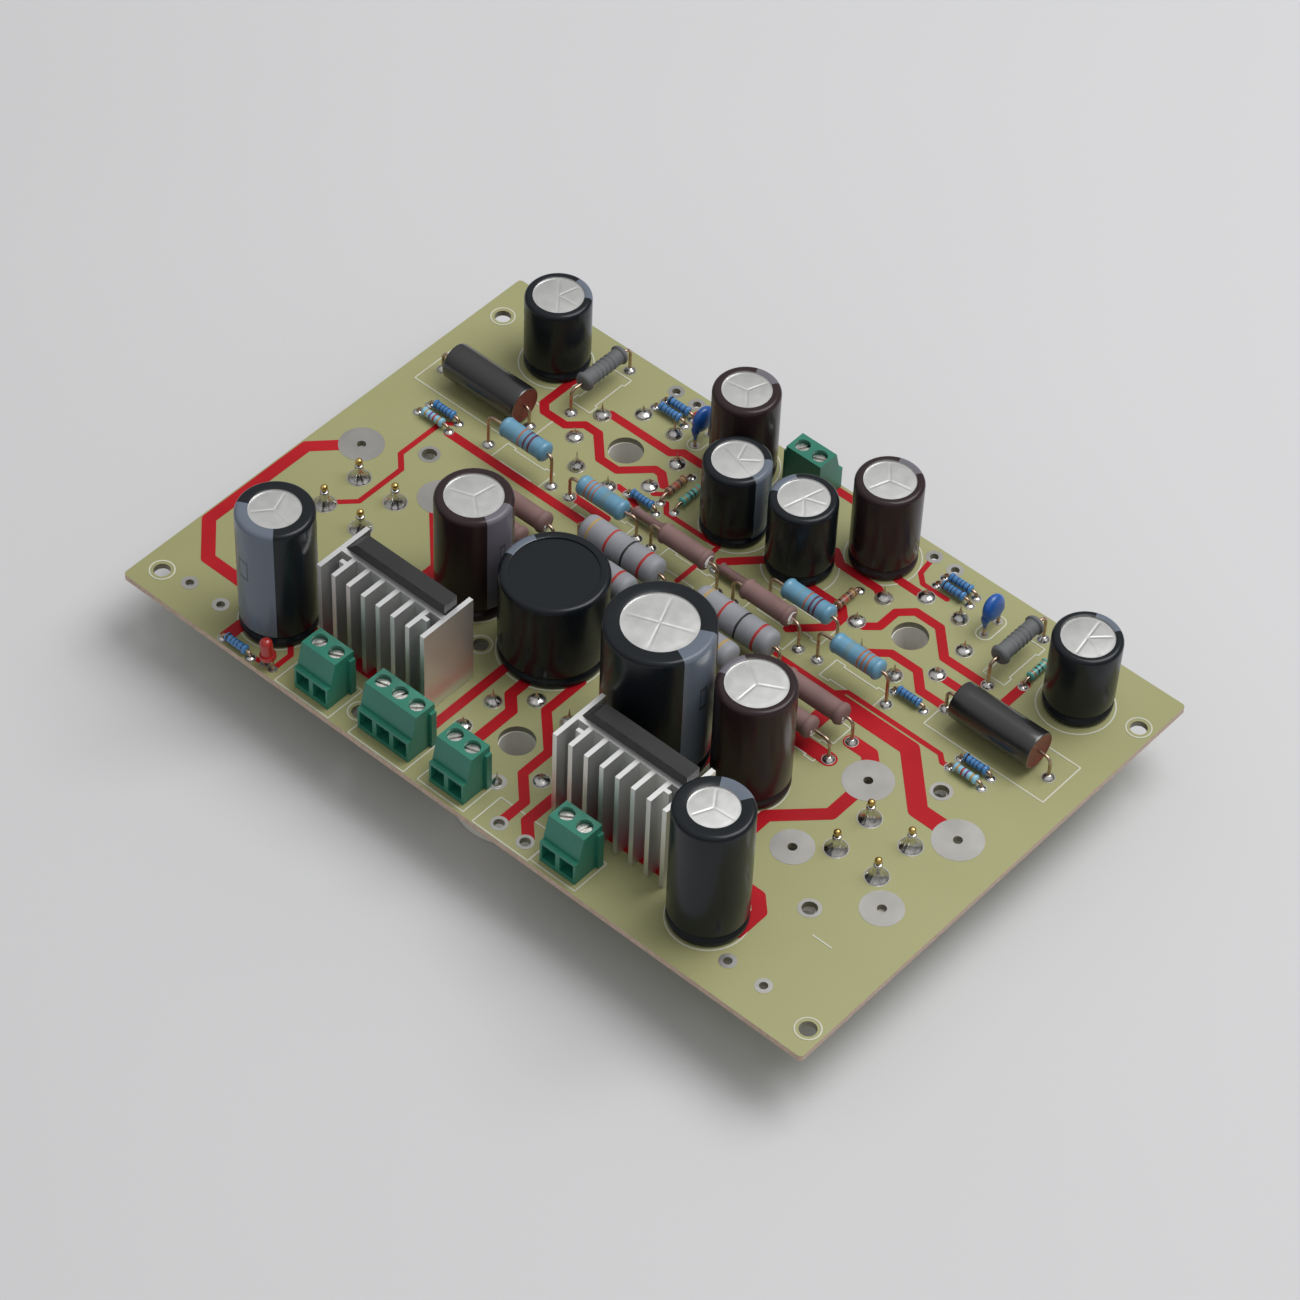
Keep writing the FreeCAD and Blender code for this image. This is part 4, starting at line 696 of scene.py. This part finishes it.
# Radius and height of the dip's run-down along a lead, in millimetres
DISC_TAIL = [(0.0, 0.0), (0.38, 0.02), (0.46, 0.5), (0.62, 1.3), (0.9, 2.2), (1.1, 3.1), (0.9, 3.8),
             (0.0, 4.0)]


def disc_capacitor(number, low, high):
    """A dipped disc, thickest in the middle, with its dip run down along both leads."""
    centre = (low + high) / 2
    radius = (high.y - low.y) / 2
    profile = [(0.0, -DISC_HALF, 0)]
    for step in range(1, DISC_STEPS):
        angle = math.pi * step / DISC_STEPS
        profile.append((radius * math.sin(angle) ** DISC_BLUNTNESS, -DISC_HALF * math.cos(angle), 0))
    profile.append((0.0, DISC_HALF, 0))
    piece = lathe(f"disc_capacitor_{number}", profile, [DISC_BLUE], 56)
    lean = DISC_LEAN if high.x - low.x > LEANING_WIDTH else 0.0
    piece.rotation_euler = Euler((0.0, math.pi / 2 - lean, 0.0))
    piece.location = centre
    keep(piece, "disc_capacitors")
    outline = [(reach * MM, height * MM, 0) for reach, height in DISC_TAIL]
    for side, place in ((-1, "front"), (1, "back")):
        tail = lathe(f"disc_tail_{number}_{place}", outline, [DISC_BLUE], 24)
        tail.location = (centre.x, centre.y + side * DISC_LEAD_SPREAD, TOP + DISC_TAIL_FOOT)
        keep(tail, "disc_capacitors")


for number, (low, high) in enumerate(islands("disc_capacitors"), start=1):
    disc_capacitor(number, low, high)


# Solder

SOLDER = metal("solder", (0.42, 0.41, 0.39), (0.74, 0.73, 0.71), low=0.12, high=0.3, scale=900.0,
               depth=0.05 * MM)
SOLDER_SEGMENTS = 20
# Share of the joint's radius and of its height. The skirt goes on up the pin as a collar.
UNDERSIDE = [(0.45, 0.0), (0.52, 0.25), (0.66, 0.55), (0.84, 0.82), (1.0, 1.0)]
DRAWN_TIP = [(1.0, 0.0), (0.985, 0.05), (0.91, 0.13), (0.75, 0.21), (0.53, 0.28), (0.34, 0.36),
             (0.21, 0.48), (0.13, 0.65), (0.08, 0.85), (0.03, 1.0)]
PIN_SKIRT = [(1.0, 0.0), (0.97, 0.06), (0.85, 0.2), (0.70, 0.42), (0.56, 0.72), (0.46, 1.0), (0.41, 1.3),
             (0.39, 1.6), (0.38, 2.0), (0.30, 2.1)]
FILLET = [(1.0, 0.0), (0.98, 0.1), (0.89, 0.32), (0.72, 0.55), (0.52, 0.76), (0.4, 0.92), (0.31, 1.0)]
TIP_HEIGHT = 2.2 * MM
SKIRT_RADIUS = 2.5 * MM
UNDER_TOP = 0.1 * MM


def solder_shape(low, radius, rise):
    """The outline of a joint, from where it sits and how large it is."""
    if low.z < TOP - UNDER_TOP:
        return UNDERSIDE
    if rise > TIP_HEIGHT:
        return DRAWN_TIP
    if radius > SKIRT_RADIUS:
        return PIN_SKIRT
    return FILLET


def solder_piece():
    """Every joint as a concave fillet, with drawn-out tips on the socket contacts."""
    vertices = []
    faces = []
    for low, high in islands("solder_joints"):
        centre = (low + high) / 2
        radius = (high.x - low.x) / 2
        rise = high.z - low.z
        starts = []
        for share, level in solder_shape(low, radius, rise):
            starts.append(len(vertices))
            for step in range(SOLDER_SEGMENTS):
                angle = 2 * math.pi * step / SOLDER_SEGMENTS
                reach = radius * share
                vertices.append((centre.x + reach * math.cos(angle), centre.y + reach * math.sin(angle),
                                 low.z + rise * level))
        for lower, upper in zip(starts, starts[1:]):
            for step in range(SOLDER_SEGMENTS):
                after = (step + 1) % SOLDER_SEGMENTS
                faces.append((lower + step, lower + after, upper + after, upper + step))
        faces.append(tuple(reversed(range(starts[0], starts[0] + SOLDER_SEGMENTS))))
        faces.append(tuple(range(starts[-1], starts[-1] + SOLDER_SEGMENTS)))
    piece = mesh_piece("solder", vertices, faces, [SOLDER], smooth_angle=50.0)
    keep(piece, "solder_joints")


solder_piece()


# Terminal blocks

PITCH = 5.08 * MM
RIB_PROUD = 0.75 * MM
MOUTH_HALF = 1.92 * MM
MOUTH_SILL = 1.18 * MM
MOUTH_TOP = 5.52 * MM
LIP_TOP = 6.25 * MM
LIP_DEPTH = 1.25 * MM
LIP_STEP = 0.05 * MM
LIP_INSET = 0.02 * MM
BOX_FACES = [(0, 1, 5, 4), (1, 2, 6, 5), (2, 3, 7, 6), (3, 0, 4, 7), (3, 2, 1, 0), (4, 5, 6, 7)]


def lip_bars(start, poles):
    """The bars round the wire mouths, each from and to along X, and from and to in height."""
    left = start + LIP_INSET
    right = start + poles * PITCH - LIP_INSET
    edges = [left]
    for pole in range(poles):
        middle = start + (pole + 0.5) * PITCH
        edges += [middle - MOUTH_HALF, middle + MOUTH_HALF]
    edges.append(right)
    posts = [(edges[index], edges[index + 1], MOUTH_SILL, MOUTH_TOP) for index in range(0, len(edges), 2)]
    return [(left, right, 0.0, MOUTH_SILL), (left, right, MOUTH_TOP, LIP_TOP)] + posts


def terminal_lip(node):
    """The upright lower face round the wire mouths, with a ledge along its top."""
    low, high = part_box(node)
    front = low.y < 0
    poles = round((high.x - low.x - RIB_PROUD) / PITCH)
    near = low.y + LIP_STEP if front else high.y - LIP_STEP
    far = near + (LIP_DEPTH if front else -LIP_DEPTH)
    vertices = []
    faces = []
    for start, end, bottom, top in lip_bars(low.x if front else low.x + RIB_PROUD, poles):
        first = len(vertices)
        for y in (min(near, far), max(near, far)):
            for x, z in ((start, bottom), (end, bottom), (end, top), (start, top)):
                vertices.append((x, y, low.z + z))
        faces += [tuple(first + corner for corner in face) for face in BOX_FACES]
    piece = mesh_piece("lip_of_" + node, vertices, faces, [GREEN], smooth_angle=20.0)
    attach(piece, BOARD)


# Finishes of the CAD nodes that show as they are

def dress_node(node, material):
    """Gives a CAD node its finish."""
    item = frame["nodes"][node]
    if not item.material_slots:
        item.data.materials.append(material)
    for slot in item.material_slots:
        slot.material = material


GREEN = plastic("green_housing", (0.017, 0.178, 0.118), roughness=0.38, scale=1800.0, depth=0.02 * MM,
                spread=0.1, Coat_Weight=0.1)
TIN = metal("tin", (0.37, 0.363, 0.342), (0.43, 0.422, 0.40), low=0.34, high=0.46, scale=120.0,
            depth=0.01 * MM)
NICKEL = metal("screw_steel", (0.50, 0.49, 0.46), (0.72, 0.71, 0.68), low=0.2, high=0.4, scale=700.0,
               depth=0.03 * MM)
CAGE = metal("cage_brass", (0.50, 0.46, 0.38), (0.68, 0.63, 0.52), low=0.25, high=0.45)
FINS = metal("bright_aluminium", (0.74, 0.74, 0.74), (0.82, 0.82, 0.81), low=0.34, high=0.44, scale=25.0,
             depth=0.0, stretch=(1.0, 1.0, 0.3), metallic=0.9)
WIRE = metal("lead_wire", (0.34, 0.23, 0.17), (0.58, 0.44, 0.34), low=0.2, high=0.4, scale=600.0)
GILT = gilded()
EPOXY = plastic("black_epoxy", (0.014, 0.014, 0.015), roughness=0.5, scale=1500.0, depth=0.04 * MM,
                spread=0.2)
INK = plastic("white_print", (0.55, 0.555, 0.45), roughness=0.6, scale=3000.0, depth=0.01 * MM, spread=0.08)
LENS = plastic("red_lens", (0.46, 0.02, 0.016), roughness=0.3, scale=900.0, depth=0.01 * MM, spread=0.1,
               Coat_Weight=0.4, Transmission_Weight=0.2)
CERAMIC = ceramic()

dress_node("circuit_board", laminate())
dress_node("copper_traces", red_track())
dress_node("tinned_pads", TIN)
dress_node("silkscreen", INK)
dress_node("component_leads", WIRE)
dress_node("terminal_contacts", TIN)
dress_node("socket_contacts", GILT)
dress_node("octal_sockets", CERAMIC)
dress_node("four_pin_sockets", CERAMIC)
dress_node("led", LENS)
for side in ("left", "right"):
    dress_node("heatsink_" + side, FINS)
    dress_node("rectifier_" + side, EPOXY)
for node in frame["nodes"]:
    if node.startswith("terminal_housing"):
        dress_node(node, GREEN)
        terminal_lip(node)
    if node.startswith("clamp_screw"):
        dress_node(node, NICKEL)
    if node.startswith("wire_cage"):
        dress_node(node, CAGE)


# Floor, light and camera

FLOOR_REACH = 3.0
FLOOR_DROP = 0.2 * MM


def floor():
    """A plain pale tabletop."""
    mesh = bpy.data.meshes.new("floor")
    corners = [(x * FLOOR_REACH, y * FLOOR_REACH, 0.0) for x, y in ((-1, -1), (1, -1), (1, 1), (-1, 1))]
    mesh.from_pydata(corners, [], [(0, 1, 2, 3)])
    shader = Shader("floor", (0.60, 0.60, 0.61), 0.9)
    tone = shader.ramp(shader.noise(3.0), [(0.3, (0.595, 0.595, 0.605)), (0.7, (0.61, 0.61, 0.62))])
    mesh.materials.append(shader.colour(tone).material)
    item = bpy.data.objects.new("floor", mesh)
    bpy.context.scene.collection.objects.link(item)
    item.location.z = -FLOOR_DROP


def lamp(name, place, size, power):
    """A square soft light that points at the middle of the ground."""
    light = bpy.data.lights.new(name, "AREA")
    light.shape = "SQUARE"
    light.size = size
    light.energy = power
    item = bpy.data.objects.new(name, light)
    item.location = place
    item.rotation_euler = (-Vector(place)).to_track_quat("-Z", "Y").to_euler()
    bpy.context.scene.collection.objects.link(item)


def world(diffuse, low, high):
    """A pale room. Reflections see it dim near the floor and brighter overhead."""
    made = bpy.data.worlds.new("studio")
    made.use_nodes = True
    tree = made.node_tree
    background = tree.nodes["Background"]
    background.inputs["Color"].default_value = (1.0, 1.0, 1.0, 1.0)
    place = tree.nodes.new("ShaderNodeTexCoord")
    split = tree.nodes.new("ShaderNodeSeparateXYZ")
    tree.links.new(place.outputs["Generated"], split.inputs[0])
    climb = tree.nodes.new("ShaderNodeMapRange")
    climb.inputs["To Min"].default_value = low
    climb.inputs["To Max"].default_value = high
    tree.links.new(split.outputs["Z"], climb.inputs["Value"])
    path = tree.nodes.new("ShaderNodeLightPath")
    choice = tree.nodes.new("ShaderNodeMix")
    choice.inputs[2].default_value = diffuse
    tree.links.new(path.outputs["Is Glossy Ray"], choice.inputs[0])
    tree.links.new(climb.outputs[0], choice.inputs[3])
    tree.links.new(choice.outputs[0], background.inputs["Strength"])
    bpy.context.scene.world = made


AIM = Vector((2.16 * MM, -2.46 * MM, TOP))
ELEVATION = math.radians(47.92)
HEADING = (0.638, -0.770)
DISTANCE = 1.0118
ROLL = math.radians(2.5)
SENSOR_WIDTH = 36.0
FOCAL_PIXELS = 4545.68
FRAME_PIXELS = 1300


def camera():
    """The photograph's viewpoint: a long lens, from the front right and above."""
    level = math.cos(ELEVATION)
    toward = Vector((HEADING[0] * level, HEADING[1] * level, math.sin(ELEVATION)))
    data = bpy.data.cameras.new("camera")
    data.sensor_width = SENSOR_WIDTH
    data.lens = SENSOR_WIDTH * FOCAL_PIXELS / FRAME_PIXELS
    data.clip_end = 20.0
    item = bpy.data.objects.new("camera", data)
    item.location = AIM + toward * DISTANCE
    turn = (-toward).to_track_quat("-Z", "Y").to_matrix().to_4x4()
    roll = Euler((0.0, 0.0, ROLL)).to_matrix().to_4x4()
    item.rotation_euler = (turn @ roll).to_euler()
    bpy.context.scene.collection.objects.link(item)
    bpy.context.scene.camera = item


floor()
lamp("overhead", place=(0.32, 0.48, 1.2), size=0.9, power=13.6)
world(diffuse=0.455, low=0.11, high=0.72)
camera()
bpy.context.scene.view_settings.view_transform = "Standard"
